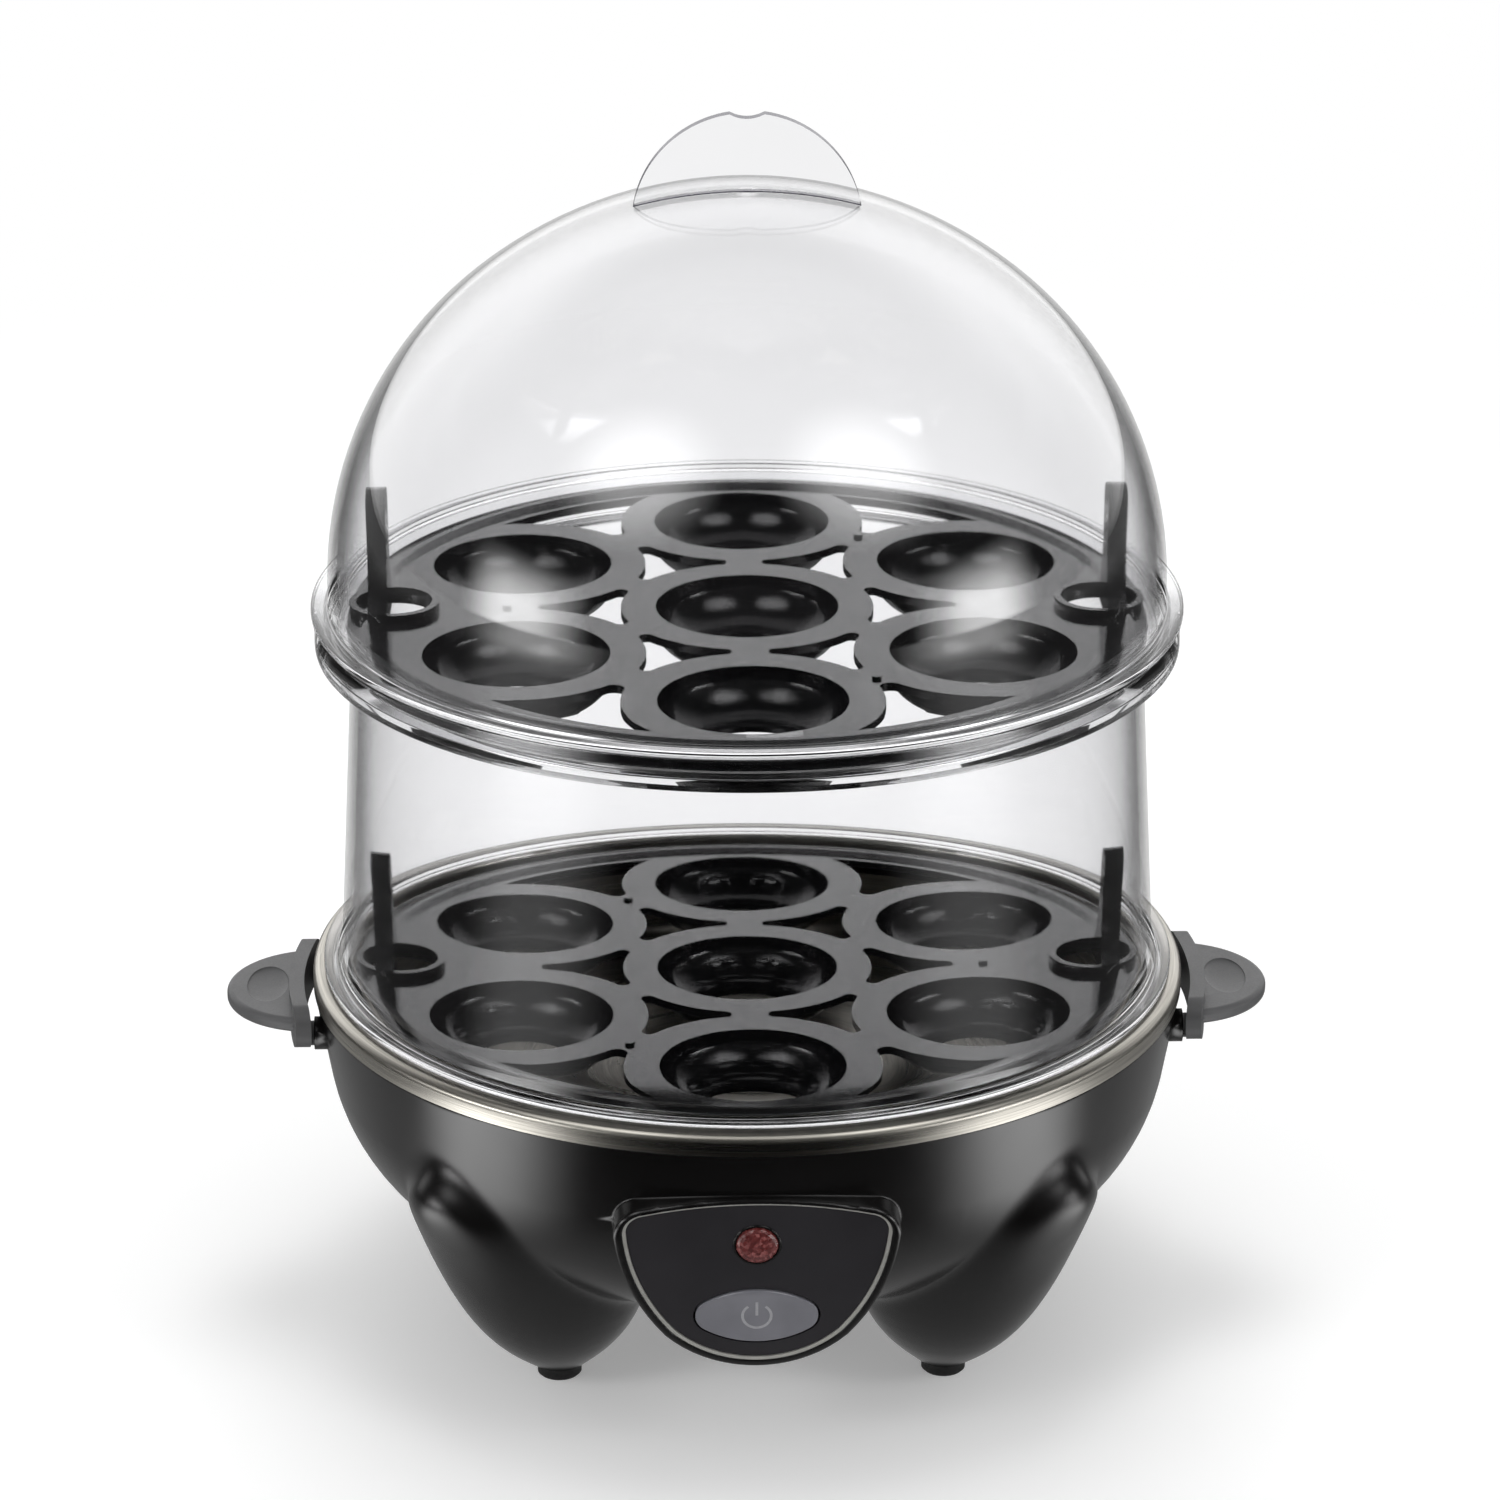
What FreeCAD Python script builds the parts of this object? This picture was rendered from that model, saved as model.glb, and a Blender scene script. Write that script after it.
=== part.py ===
"""Two-tier electric egg cooker: a moulded base on four legs with a steel heating pan, two egg trays,
a clear steam tier between them and a clear dome lid.

Frame: +Z up, the front with its control panel faces -Y, and the origin lies on the floor under the
middle of the pan. Millimetres and degrees throughout.
"""
import FreeCAD, Part
import math
import os
import re

import Sketcher

doc = FreeCAD.newDocument("EggCooker")
sheet = doc.addObject("Spreadsheet::Sheet", "Sizes")

# Every driving dimension: its alias, its value, and what it measures.
SIZES = (
    # Clearances
    ("running_gap", 0.3, "between pieces that lift or slide apart"),
    ("spigot_gap", 0.4, "round a spigot inside its rim"),
    ("screw_gap", 0.15, "round a screw in its hole"),
    ("fit_gap", 0.05, "round a piece that is pressed or snapped into its seat"),
    ("blind_gap", 0.3, "under the end of a screw or stem in a blind hole"),
    # Rubber feet
    ("foot_radius", 4.65, "radius of a rubber foot"),
    ("foot_height", 2.8, "height of a rubber foot below its leg"),
    ("foot_chamfer", 0.5, "chamfer round its sole"),
    ("foot_stem_radius", 2.0, "stem that plugs the foot into the leg"),
    ("foot_stem_length", 3.5, "length of that stem"),
    # Housing: a drafted bowl with a large turn into a flat underside
    ("bowl_floor", 23.5, "height of the flat underside"),
    ("bowl_height", 51.0, "from the underside to the rim"),
    ("bowl_rim_radius", 92.3, "outside radius at the rim"),
    ("bowl_draft", 9.9, "lean of the side, in degrees"),
    ("bowl_turn", 40.0, "radius of the turn into the underside"),
    ("housing_wall", 2.6, "wall of the moulding"),
    # Legs: round sections that swell out of the bowl, each with a height, a distance from the axis and a radius
    ("leg_wall", 3.0, "wall of a hollow leg"),
    ("leg_blend", 5.0, "rounding of the valley between leg and bowl"),
    ("leg_foot_inset", 34.9, "from the rim's radius in to the leg's foot"),
    ("leg_foot_radius", 5.4, "flat end of the leg"),
    ("leg_ankle_height", 7.0, "height of the ankle section"),
    ("leg_ankle_inset", 34.1, "from the rim's radius in to the leg's middle there"),
    ("leg_ankle_radius", 10.3, "its radius"),
    ("leg_calf_height", 14.0, "height of the calf section"),
    ("leg_calf_inset", 33.4, "from the rim's radius in to the leg's middle there"),
    ("leg_calf_radius", 16.5, "its radius"),
    ("leg_knee_height", 26.0, "height of the knee section"),
    ("leg_knee_inset", 31.0, "from the rim's radius in to the leg's middle there"),
    ("leg_knee_radius", 21.5, "its radius"),
    ("leg_thigh_height", 42.0, "height of the thigh section"),
    ("leg_thigh_inset", 22.1, "from the rim's radius in to the leg's middle there"),
    ("leg_thigh_radius", 20.5, "its radius"),
    ("leg_hip_height", 59.0, "height of the hip section"),
    ("leg_hip_inset", 6.8, "from the rim's radius in to the leg's middle there"),
    ("leg_hip_radius", 4.0, "its radius"),
    # Control panel, on a plane that leans under the bowl
    ("panel_setback", 0.1, "how far the plate's top edge lies inside the rim's radius"),
    ("panel_top", 63.8, "height of the plate's top edge"),
    ("panel_tilt", 10.0, "lean of the panel, in degrees"),
    ("plate_half_width", 26.4, "half of the plate's width at its top corners"),
    ("plate_corner_drop", 3.4, "how far the top corners lie below the middle"),
    ("plate_corner", 4.0, "rounding of the plate's top corners"),
    ("corner_run", 3.06, "how far before and below a corner its rounding starts and ends"),
    ("corner_lift", 0.73, "how far the rounding's start lies over the corner"),
    ("corner_lean", 0.1, "how far the rounding's end lies inside the corner"),
    ("brow_ratio", 0.4, "how far the top rises as the outline grows by one"),
    ("slant_ratio", 0.23, "how far a rounding's start moves out as the outline grows by one"),
    ("spread_ratio", 0.94, "how far a rounding's end moves out as the outline grows by one"),
    ("sink_ratio", 0.57, "how far a rounding's end sinks as the outline grows by one"),
    ("hip_out_ratio", 0.75, "how far a hip spreads as the outline grows by one"),
    ("hip_down_ratio", 0.66, "how far a hip sinks as the outline grows by one"),
    ("plate_arch", 104.0, "radius of the top edge"),
    ("plate_side", 42.6, "radius of each side"),
    ("plate_hip_half_width", 16.5, "half width where a side meets the chin"),
    ("plate_hip_drop", 31.0, "how far that point lies below the top"),
    ("plate_chin", 23.3, "radius of the chin"),
    ("plate_thickness", 1.5, "thickness of the plate"),
    ("plate_inset", 0.4, "depth of the plate's face below the bezel"),
    ("bezel_width", 2.7, "width of the moulded bezel"),
    ("bezel_round", 1.1, "rounding of the bezel's edge"),
    ("bezel_depth", 30.0, "how far the boss behind the panel reaches in"),
    ("panel_wall", 2.2, "housing wall behind the plate"),
    ("trim_width", 0.8, "width of the bright trim round the plate"),
    ("trim_rise", 0.3, "how far the trim stands over the plate"),
    # Indicator
    ("lens_drop", 10.0, "distance of the lens below the plate's top"),
    ("lens_radius", 4.25, "radius of the lens"),
    ("lens_crown", 1.9, "how far the lens bulges over the plate"),
    ("lens_flange", 5.6, "radius of the flange behind the wall"),
    ("lens_flange_thickness", 1.0, "thickness of that flange"),
    ("holder_length", 4.0, "length of the lamp holder behind the lens"),
    ("lamp_radius", 2.4, "radius of the neon lamp"),
    # Power button
    ("button_drop", 27.6, "distance of the button below the plate's top"),
    ("button_half_width", 12.4, "half of the cap's width"),
    ("button_half_height", 6.4, "half of the cap's height"),
    ("button_end", 3.9, "radius of the oval's ends"),
    ("button_gap", 0.45, "round the cap in its window"),
    ("button_stand", 0.5, "how far the cap stands over the plate"),
    ("button_scoop", 36.0, "radius of the hollow in the cap"),
    ("button_scoop_depth", 0.4, "depth of that hollow"),
    ("button_flange", 1.4, "how far the cap's flange reaches behind the wall"),
    ("button_flange_thickness", 1.2, "thickness of that flange"),
    ("button_travel", 2.0, "stroke of the button"),
    ("button_stem_radius", 2.2, "stem that pushes the switch"),
    ("button_stem_length", 3.5, "length of that stem"),
    ("spring_radius", 3.4, "mean radius of the return spring"),
    ("spring_wire", 0.3, "radius of its wire"),
    ("spring_pitch", 0.9, "rise of each turn of the spring"),
    # Switch
    ("bracket_thickness", 1.2, "plate that carries the switch"),
    ("switch_half_width", 9.0, "half of the switch's width"),
    ("switch_half_height", 5.5, "half of the switch's height"),
    ("switch_depth", 13.0, "depth of the switch body"),
    ("blade_length", 6.0, "length of the switch's terminals"),
    ("blade_width", 4.8, "width of a terminal"),
    ("blade_thickness", 0.8, "thickness of a terminal"),
    ("blade_spacing", 4.5, "distance of each terminal from the middle"),
    ("switch_post_reach", 14.0, "distance of each post from the middle"),
    ("switch_post_drop", 15.5, "distance of the posts below the plate's top"),
    ("switch_post_radius", 2.6, "radius of a post"),
    # Heating pan
    ("pan_sheet", 1.0, "thickness of the steel"),
    ("band_overhang", 0.1, "how far the rolled rim stands over the housing"),
    ("band_height", 4.7, "height of the rim over the housing"),
    ("band_round", 2.0, "rounding of the rim's outer edge"),
    ("band_width", 5.0, "width of the rolled rim, from its edge to the mouth"),
    ("rim_depth", 6.0, "from the rim's top to the tray ledge"),
    ("ledge_width", 10.4, "width of the tray ledge in the mouth"),
    ("pan_depth", 20.2, "from the tray ledge to the pan's floor"),
    ("pan_corner", 8.0, "radius between the pan's wall and floor"),
    # Heater group under the pan
    ("spreader_margin", 27.0, "from the pan's wall in to the heat spreader"),
    ("spreader_thickness", 2.5, "thickness of the heat spreader"),
    ("element_margin", 12.0, "from the spreader's edge in to the element's line"),
    ("element_width", 8.0, "width of the element"),
    ("element_height", 5.5, "height of the element"),
    ("element_sweep", 300.0, "how far the element goes round, in degrees"),
    ("element_pin_inset", 4.0, "how far each terminal pin lies from the element's end, in degrees"),
    ("element_pin_radius", 1.5, "radius of a terminal pin"),
    ("element_pin_length", 6.0, "length of a terminal pin"),
    ("thermostat_radius", 9.0, "radius of the thermostat"),
    ("thermostat_height", 8.0, "height of the thermostat"),
    ("strap_width", 10.0, "width of the thermostat's bracket"),
    ("strap_thickness", 0.8, "thickness of that bracket"),
    ("strap_foot", 9.0, "length of each foot of the bracket"),
    ("strap_screw_reach", 15.5, "distance of the bracket's screws from the axis"),
    ("strap_screw_bite", 1.6, "how far those screws bite into the spreader"),
    ("fuse_radius", 2.0, "radius of the thermal fuse"),
    ("fuse_length", 14.0, "length of the thermal fuse"),
    ("fuse_back", 21.0, "distance of the fuse behind the axis"),
    ("fuse_clip_width", 6.0, "width of the fuse's clip"),
    ("fuse_clip_wall", 1.2, "wall of the fuse's clip"),
    ("standoff_margin", 6.0, "from the spreader's edge out to the pan standoffs"),
    ("standoff_radius", 3.2, "radius of a pan standoff"),
    ("standoff_seat", 34.0, "height of the bosses under the standoffs"),
    ("standoff_boss_radius", 5.0, "radius of those bosses"),
    # Bottom cover
    ("cover_radius", 40.0, "radius of the bottom cover"),
    ("cover_thickness", 3.0, "thickness of the bottom cover"),
    ("cover_lap", 11.0, "how far the cover laps its opening"),
    ("land_margin", 3.0, "how far the land reaches out past the cover"),
    ("land_height", 4.5, "height of the land over the cover"),
    ("cover_screw_inset", 5.0, "from the cover's edge in to its screws"),
    ("cover_slot_length", 12.0, "length of a vent slot"),
    ("cover_slot_width", 2.4, "width of a vent slot"),
    ("cover_slot_reach", 11.0, "where the slots start"),
    ("counterbore_depth", 1.8, "depth of the cover screws' seats"),
    # Screws
    ("screw_radius", 1.4, "shank of the case screws"),
    ("screw_head_radius", 2.6, "head of the case screws"),
    ("screw_head_height", 1.6, "height of that head"),
    ("cover_screw_bite", 3.6, "how far a cover screw bites into the land"),
    ("handle_screw_bite", 3.2, "how far a handle screw bites into its foot"),
    ("small_screw_radius", 1.0, "shank of the small screws"),
    ("small_screw_head_radius", 2.0, "head of the small screws"),
    ("small_screw_head_height", 1.2, "height of that head"),
    ("small_screw_bite", 3.5, "how far a small screw bites into a post"),
    # Handles
    ("handle_drop", 6.3, "how far the handle's feet lie under the rim"),
    ("handle_setback", 0.7, "how far the handles' seats lie inside the rim's radius"),
    ("handle_foot_spacing", 16.75, "distance of each foot from the middle"),
    ("handle_foot_radius", 2.6, "radius of a foot"),
    ("handle_lug_radius", 3.5, "radius of the housing lug behind a foot"),
    ("handle_lug_depth", 7.0, "length of that lug"),
    ("strap_gap", 2.0, "see-through gap between rim and strap"),
    ("grip_strap_thickness", 3.2, "thickness of the strap"),
    ("grip_strap_half_length", 21.0, "half of the strap's length"),
    ("grip_strap_drop", 9.1, "how far the strap's lower edge lies under the rim"),
    ("grip_strap_height", 9.5, "height of the strap"),
    ("grip_strap_round", 4.0, "rounding of the strap's ends"),
    ("paddle_offset", 0.4, "from the handles' seats out to the centre of the paddle's outline"),
    ("paddle_radius", 19.0, "radius of the paddle's outline"),
    ("paddle_bottom", 69.0, "height of the paddle's lower face"),
    ("paddle_thickness", 3.2, "thickness of the paddle"),
    ("paddle_round", 1.2, "rounding of the paddle's edge"),
    ("dimple_offset", 10.3, "from that centre out to the thumb dimple"),
    ("dimple_half_length", 9.2, "half length of the dimple"),
    ("dimple_half_width", 4.4, "half width of the dimple"),
    ("dimple_depth", 1.1, "depth of the dimple"),
    # Cord gland in the rear wall
    ("gland_height", 40.0, "height of the gland"),
    ("gland_setback", 4.3, "how far the gland's seat lies inside the rim's radius"),
    ("gland_boss_radius", 9.0, "radius of the boss round the gland"),
    ("gland_boss_length", 22.0, "length of that boss"),
    ("gland_radius", 5.0, "barrel of the gland"),
    ("gland_flange_radius", 7.6, "flange of the gland"),
    ("gland_flange_thickness", 2.0, "thickness of that flange"),
    ("gland_bore", 3.4, "radius of the bore for the cord"),
    ("gland_nut_radius", 7.5, "radius of the gland's nut over its corners"),
    ("gland_nut_length", 4.0, "length of the gland's nut"),
    # Terminal block
    ("terminal_half_width", 8.5, "half width of the terminal block's body"),
    ("terminal_ear_reach", 13.0, "half width over its ears"),
    ("terminal_ear_height", 2.5, "height of the ears"),
    ("terminal_depth", 10.0, "depth of the terminal block"),
    ("terminal_height", 8.0, "height of the terminal block"),
    ("terminal_offset", 4.0, "from the edge of the cover's opening back to the block"),
    ("terminal_screw_reach", 10.8, "distance of its screws from the middle"),
    ("terminal_pole_spacing", 5.2, "distance between its poles"),
    ("terminal_hole_radius", 1.5, "radius of a wire hole"),
    ("terminal_well_radius", 1.9, "radius of the well over a wire hole"),
    # Egg trays
    ("tray_play", 1.7, "between a tray and the wall of a spigot round it"),
    ("tray_plate", 1.8, "thickness of the tray's plate"),
    ("skirt_height", 4.0, "from the tray's face to the foot of its skirt"),
    ("skirt_wall", 1.4, "thickness of the skirt"),
    ("bead_inset", 4.4, "from the tray's edge in to the middle of the raised bead"),
    ("bead_width", 3.4, "width of the bead at its foot"),
    ("bead_height", 1.0, "height of the bead"),
    ("cup_land", 0.75, "between a cup's mouth and the outer windows' circle"),
    ("cup_radius", 19.05, "radius of a cup's mouth"),
    ("cup_wall", 1.5, "wall of a cup"),
    ("cup_straight", 2.2, "straight part of a cup"),
    ("cup_depth", 9.4, "depth of a cup"),
    ("cup_hole", 9.8, "radius of the hole in a cup"),
    ("cup_curve", 9.0, "radius of the cup's curve"),
    ("window_depth", 5.28, "from a window's middle to each of its sides"),
    ("window_relief", 9.85, "angle by which a window stops short of the web"),
    ("window_end", 1.75, "radius of a window's rounded corners"),
    ("outer_window_relief", 15.0, "the same angle at the inner end of an outer window"),
    ("outer_window_end", 2.3, "radius of that end"),
    ("rim_land", 8.8, "width of the land outside the outer windows"),
    ("collar_inset", 9.7, "from the tray's edge in to a fin's collar"),
    ("collar_radius", 9.6, "outside radius of the collar"),
    ("collar_wall", 1.5, "wall of the collar"),
    ("collar_height", 1.75, "height of the collar"),
    ("fin_inset", 6.8, "from the tray's edge in to a fin"),
    ("fin_thickness", 4.0, "thickness of a fin"),
    ("fin_height", 26.4, "height of a fin"),
    ("fin_foot_half_width", 8.6, "half width of a fin at the collar"),
    ("fin_tip_half_width", 3.9, "half width of a fin under its rounded top"),
    ("fin_flare", 20.0, "radius of the fin's flare into the collar"),
    ("fin_flare_top", 15.0, "height of the flare's upper end"),
    ("fin_top_radius", 4.2, "radius of a fin's top"),
    ("pip_inset", 4.7, "from the ring of cups in to a pip"),
    ("pip_radius", 1.0, "radius of a pip"),
    ("pip_height", 0.7, "height of a pip"),
    # Steam tier and lid, clear mouldings
    ("clear_wall", 2.0, "wall of the clear mouldings"),
    ("spigot_depth", 4.0, "how far a spigot reaches into its rim"),
    ("flange_thickness", 1.5, "thickness of a resting flange"),
    ("tier_flange_lap", 2.6, "how far the tier's flange laps the rim round its spigot"),
    ("tier_foot_inset", 1.1, "from the spigot in to the tier's wall at its foot"),
    ("tier_foot_rise", 6.5, "height of that point over the flange's seat"),
    ("tier_taper", 3.4, "how much narrower the tier's wall is at its head"),
    ("tier_ledge_height", 73.4, "from the flange's seat to the upper tray's ledge"),
    ("tier_ledge_thickness", 1.8, "thickness of that ledge"),
    ("tier_ledge_lap", 3.5, "how far the ledge reaches in under a tray"),
    ("tier_flare", 1.5, "chamfer under that ledge"),
    ("tier_socket_depth", 5.0, "depth of the socket over the ledge"),
    ("lid_lip", 0.6, "how far the lid's flange stands over the tier's"),
    ("dome_foot_rise", 5.8, "straight wall under the dome"),
    ("dome_offset", 7.0, "from the axis out to the centre of the dome's shoulder"),
    ("dome_turn", 50.0, "angle at which the crown takes over, in degrees"),
    ("lid_fin_radius", 23.4, "radius of the lid's fin"),
    ("lid_fin_half_width", 23.2, "half width of the fin where it meets the dome"),
    ("lid_fin_thickness", 2.5, "thickness of the fin"),
    ("lid_fin_notch", 3.5, "half width of the notch at the fin's top"),
    ("lid_fin_notch_curve", 7.0, "radius of that notch"),
)

# Places that follow from those sizes, as formulas of the sheet.
PLACES = (
    ("bowl_rim", "bowl_floor + bowl_height"),
    ("leg_foot_reach", "bowl_rim_radius - leg_foot_inset"),
    ("leg_ankle_reach", "bowl_rim_radius - leg_ankle_inset"),
    ("leg_calf_reach", "bowl_rim_radius - leg_calf_inset"),
    ("leg_knee_reach", "bowl_rim_radius - leg_knee_inset"),
    ("leg_thigh_reach", "bowl_rim_radius - leg_thigh_inset"),
    ("leg_hip_reach", "bowl_rim_radius - leg_hip_inset"),
    ("panel_front", "bowl_rim_radius - panel_setback"),
    ("handle_seat", "bowl_rim_radius - handle_setback"),
    ("handle_height", "bowl_rim - handle_drop"),
    ("paddle_centre", "handle_seat + paddle_offset"),
    ("dimple_reach", "paddle_centre + dimple_offset"),
    ("gland_face", "bowl_rim_radius - gland_setback"),
    ("band_radius", "bowl_rim_radius + band_overhang"),
    ("rim_opening", "band_radius - band_width"),
    ("pan_radius", "rim_opening - ledge_width"),
    ("spreader_radius", "pan_radius - spreader_margin"),
    ("element_reach", "spreader_radius - element_margin"),
    ("standoff_reach", "spreader_radius + standoff_margin"),
    ("cover_opening", "cover_radius - cover_lap"),
    ("land_radius", "cover_radius + land_margin"),
    ("cover_screw_reach", "cover_radius - cover_screw_inset"),
    ("terminal_back", "cover_opening + terminal_offset"),
    ("rim_top", "bowl_rim + band_height"),
    ("ledge_top", "rim_top - rim_depth"),
    ("pan_floor", "ledge_top - pan_depth"),
    ("pan_underside", "pan_floor - pan_sheet"),
    ("spreader_underside", "pan_underside - spreader_thickness"),
    ("element_curve", "(element_width ^ 2 + element_height ^ 2) / (4 * element_height)"),
    ("fuse_height", "spreader_underside - fuse_radius - fuse_clip_wall"),
    ("cover_seat", "bowl_floor + cover_thickness"),
    ("land_top", "cover_seat + land_height"),
    ("lower_tray_face", "ledge_top + running_gap + skirt_height"),
    ("tier_seat", "rim_top + running_gap"),
    ("tier_ledge", "tier_seat + tier_ledge_height"),
    ("tier_top", "tier_ledge + tier_socket_depth"),
    ("upper_tray_face", "tier_ledge + running_gap + skirt_height"),
    ("spigot_radius", "rim_opening - spigot_gap"),
    ("tray_radius", "spigot_radius - clear_wall - tray_play"),
    ("bead_radius", "tray_radius - bead_inset"),
    ("window_rim", "tray_radius - rim_land"),
    ("cup_circle", "window_rim - cup_land - cup_radius"),
    ("window_middle", "cup_circle / sqrt(3)"),
    ("window_reach", "window_middle - window_depth"),
    ("collar_reach", "tray_radius - collar_inset"),
    ("fin_reach", "tray_radius - fin_inset"),
    ("pip_reach", "cup_circle - pip_inset"),
    ("tier_flange_radius", "rim_opening + tier_flange_lap"),
    ("tier_foot_radius", "spigot_radius - tier_foot_inset"),
    ("tier_head_radius", "tier_foot_radius - tier_taper"),
    ("tier_ledge_reach", "tray_radius - tier_ledge_lap"),
    ("lid_flange_radius", "tier_flange_radius + lid_lip"),
    ("lid_seat", "tier_top + running_gap"),
    ("dome_foot", "lid_seat + dome_foot_rise"),
    ("dome_shoulder", "spigot_radius - dome_offset"),
    ("crown_centre", "dome_foot - dome_offset * tan(dome_turn)"),
    ("crown_radius", "dome_shoulder + dome_offset / cos(dome_turn)"),
    ("lid_fin_curve", "crown_radius - clear_wall / 2"),
    ("lid_fin_foot", "crown_centre + sqrt(lid_fin_curve ^ 2 - lid_fin_half_width ^ 2)"),
    ("lid_fin_centre", "lid_fin_foot - sqrt(lid_fin_radius ^ 2 - lid_fin_half_width ^ 2)"),
    ("lid_fin_brow", "lid_fin_centre + sqrt(lid_fin_radius ^ 2 - lid_fin_notch ^ 2)"),
    ("plate_back", "plate_inset + plate_thickness"),
    ("panel_wall_back", "plate_back + panel_wall"),
    ("lens_back", "panel_wall_back + lens_flange_thickness"),
    ("lens_curve", "(lens_radius ^ 2 + lens_crown ^ 2) / (2 * lens_crown)"),
    ("cap_back", "panel_wall_back + running_gap"),
    ("flange_back", "cap_back + button_flange_thickness"),
    ("stem_back", "flange_back + button_stem_length"),
    ("bracket_front", "stem_back + button_travel + running_gap"),
    ("bracket_back", "bracket_front + bracket_thickness"),
    ("spring_length", "bracket_front - flange_back - button_travel - 2 * fit_gap"),
    ("strap_inner", "band_radius + strap_gap"),
    ("strap_outer", "strap_inner + grip_strap_thickness"),
    ("grip_strap_bottom", "bowl_rim - grip_strap_drop"),
    ("grip_strap_top", "grip_strap_bottom + grip_strap_height"),
    ("cup_floor", "cup_depth + cup_wall"),
    (
        "window_turn",
        "acos((cup_circle ^ 2 + window_rim ^ 2 - window_reach ^ 2) / (2 * cup_circle * window_rim)) / 1deg",
    ),
)

ALIASES = {row[0] for row in SIZES + PLACES}
LEG_SECTIONS = ("ankle", "calf", "knee", "thigh", "hip")
HOLLOW_SECTIONS = ("calf", "knee", "thigh")
QUARTER_NAMES = {"front_right": -45, "front_left": -135, "rear_left": 135, "rear_right": 45}
sub_parts = []


def fill_sheet():
    """Write the driving sizes as plain numbers, and under them the places that follow."""
    row = 0
    for row, (alias, value, meaning) in enumerate(SIZES, start=1):
        sheet.set(f"A{row}", meaning)
        sheet.set(f"B{row}", str(value))
        sheet.setAlias(f"B{row}", alias)
    for row, (alias, text) in enumerate(PLACES, start=row + 1):
        sheet.set(f"A{row}", alias.replace("_", " "))
        sheet.set(f"B{row}", "=" + text)
        sheet.setAlias(f"B{row}", alias)
    doc.recompute()


def formula(text):
    """An expression with the sheet's name in front of every alias, so that sizes read as plain words."""
    return re.sub(r"[a-z_]\w*", lambda word: f"Sizes.{word[0]}" if word[0] in ALIASES else word[0], str(text))


def number(text):
    """The value of an expression, for the first guess of a sketch and for picking edges."""
    return float(sheet.evalExpression(formula(text)))


def new_body(label):
    """An empty body whose label names its file."""
    body = doc.addObject("PartDesign::Body", label)
    body.Label = label
    sub_parts.append(body)
    return body


def origin_feature(body, role):
    """One of the body's own planes or axes."""
    return next(item for item in body.Origin.OriginFeatures if item.Role == role)


def new_sketch(body, role, shift=(0, 0, 0)):
    """A sketch on one of the body's planes, moved by expressions across, up and along its normal."""
    sketch = body.newObject("Sketcher::SketchObject", "Sketch")
    sketch.AttachmentSupport = [(origin_feature(body, role), "")]
    sketch.MapMode = "FlatFace"
    for axis, amount in zip("xyz", shift):
        sketch.setExpression(f"AttachmentOffset.Base.{axis}", formula(amount))
    return sketch


def pin_down(sketch, geometry, end, across, up):
    """Bind one end of a sketch line or arc to two expressions."""
    for kind, text in (("DistanceX", across), ("DistanceY", up)):
        index = sketch.addConstraint(Sketcher.Constraint(kind, -1, 1, geometry, end, number(text)))
        sketch.setExpression(f"Constraints[{index}]", formula(text))


def arc_between(start, end, radius):
    """The shorter arc from start to end, which turns left; with a negative radius it turns right."""
    half = (end - start) * 0.5
    side = FreeCAD.Vector(-half.y, half.x, 0).normalize()
    reach = math.sqrt(max(radius * radius - half.Length ** 2, 0.0))
    centre = start + half + side * math.copysign(reach, radius)
    middle = centre - side * radius
    return Part.Arc(start, middle, end) if radius > 0 else Part.Arc(end, middle, start)


def outline(sketch, *corners):
    """A closed outline. Each corner is (across, up) after a straight side, or (across, up, radius) after an arc."""
    points = [FreeCAD.Vector(number(corner[0]), number(corner[1]), 0) for corner in corners]
    for index, corner in enumerate(corners):
        before = corners[index - 1]
        if len(corner) == 2:
            side = sketch.addGeometry(Part.LineSegment(points[index - 1], points[index]))
            pin_down(sketch, side, 1, before[0], before[1])
            pin_down(sketch, side, 2, corner[0], corner[1])
            continue
        radius = number(corner[2])
        side = sketch.addGeometry(arc_between(points[index - 1], points[index], radius))
        pin_down(sketch, side, 1 if radius > 0 else 2, before[0], before[1])
        pin_down(sketch, side, 2 if radius > 0 else 1, corner[0], corner[1])
        size = f"abs({corner[2]})"
        ring = sketch.addConstraint(Sketcher.Constraint("Radius", side, number(size)))
        sketch.setExpression(f"Constraints[{ring}]", formula(size))
    return sketch


def circle(sketch, across, up, radius):
    """A circle whose centre and radius are expressions."""
    centre = FreeCAD.Vector(number(across), number(up), 0)
    ring = sketch.addGeometry(Part.Circle(centre, FreeCAD.Vector(0, 0, 1), number(radius)))
    pin_down(sketch, ring, 3, across, up)
    index = sketch.addConstraint(Sketcher.Constraint("Radius", ring, number(radius)))
    sketch.setExpression(f"Constraints[{index}]", formula(radius))
    return sketch


def pair_of_circles(sketch, reach, up, radius):
    """Two equal circles at the same distance to each side."""
    circle(sketch, reach, up, radius)
    return circle(sketch, f"-({reach})", up, radius)


def rectangle(sketch, left, right, low, high):
    """An upright rectangle between four expressions."""
    return outline(sketch, (left, low), (right, low), (right, high), (left, high))


def polar(*steps):
    """The place reached by steps that each have a length and a direction, as two expressions."""
    across = " + ".join(f"({length}) * cos({angle})" for length, angle in steps)
    up = " + ".join(f"({length}) * sin({angle})" for length, angle in steps)
    return across, up


def feature(body, kind, sketch, **settings):
    """A sketch-based feature. Text settings are expressions, the others are set as they are."""
    made = body.newObject(f"PartDesign::{kind}", kind)
    made.Profile = sketch
    for name, value in settings.items():
        if isinstance(value, str) and name != "SideType":
            made.setExpression(name, formula(value))
        else:
            setattr(made, name, value)
    sketch.Visibility = False
    return made


def pad(body, sketch, length, **settings):
    return feature(body, "Pad", sketch, Length=length, **settings)


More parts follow.
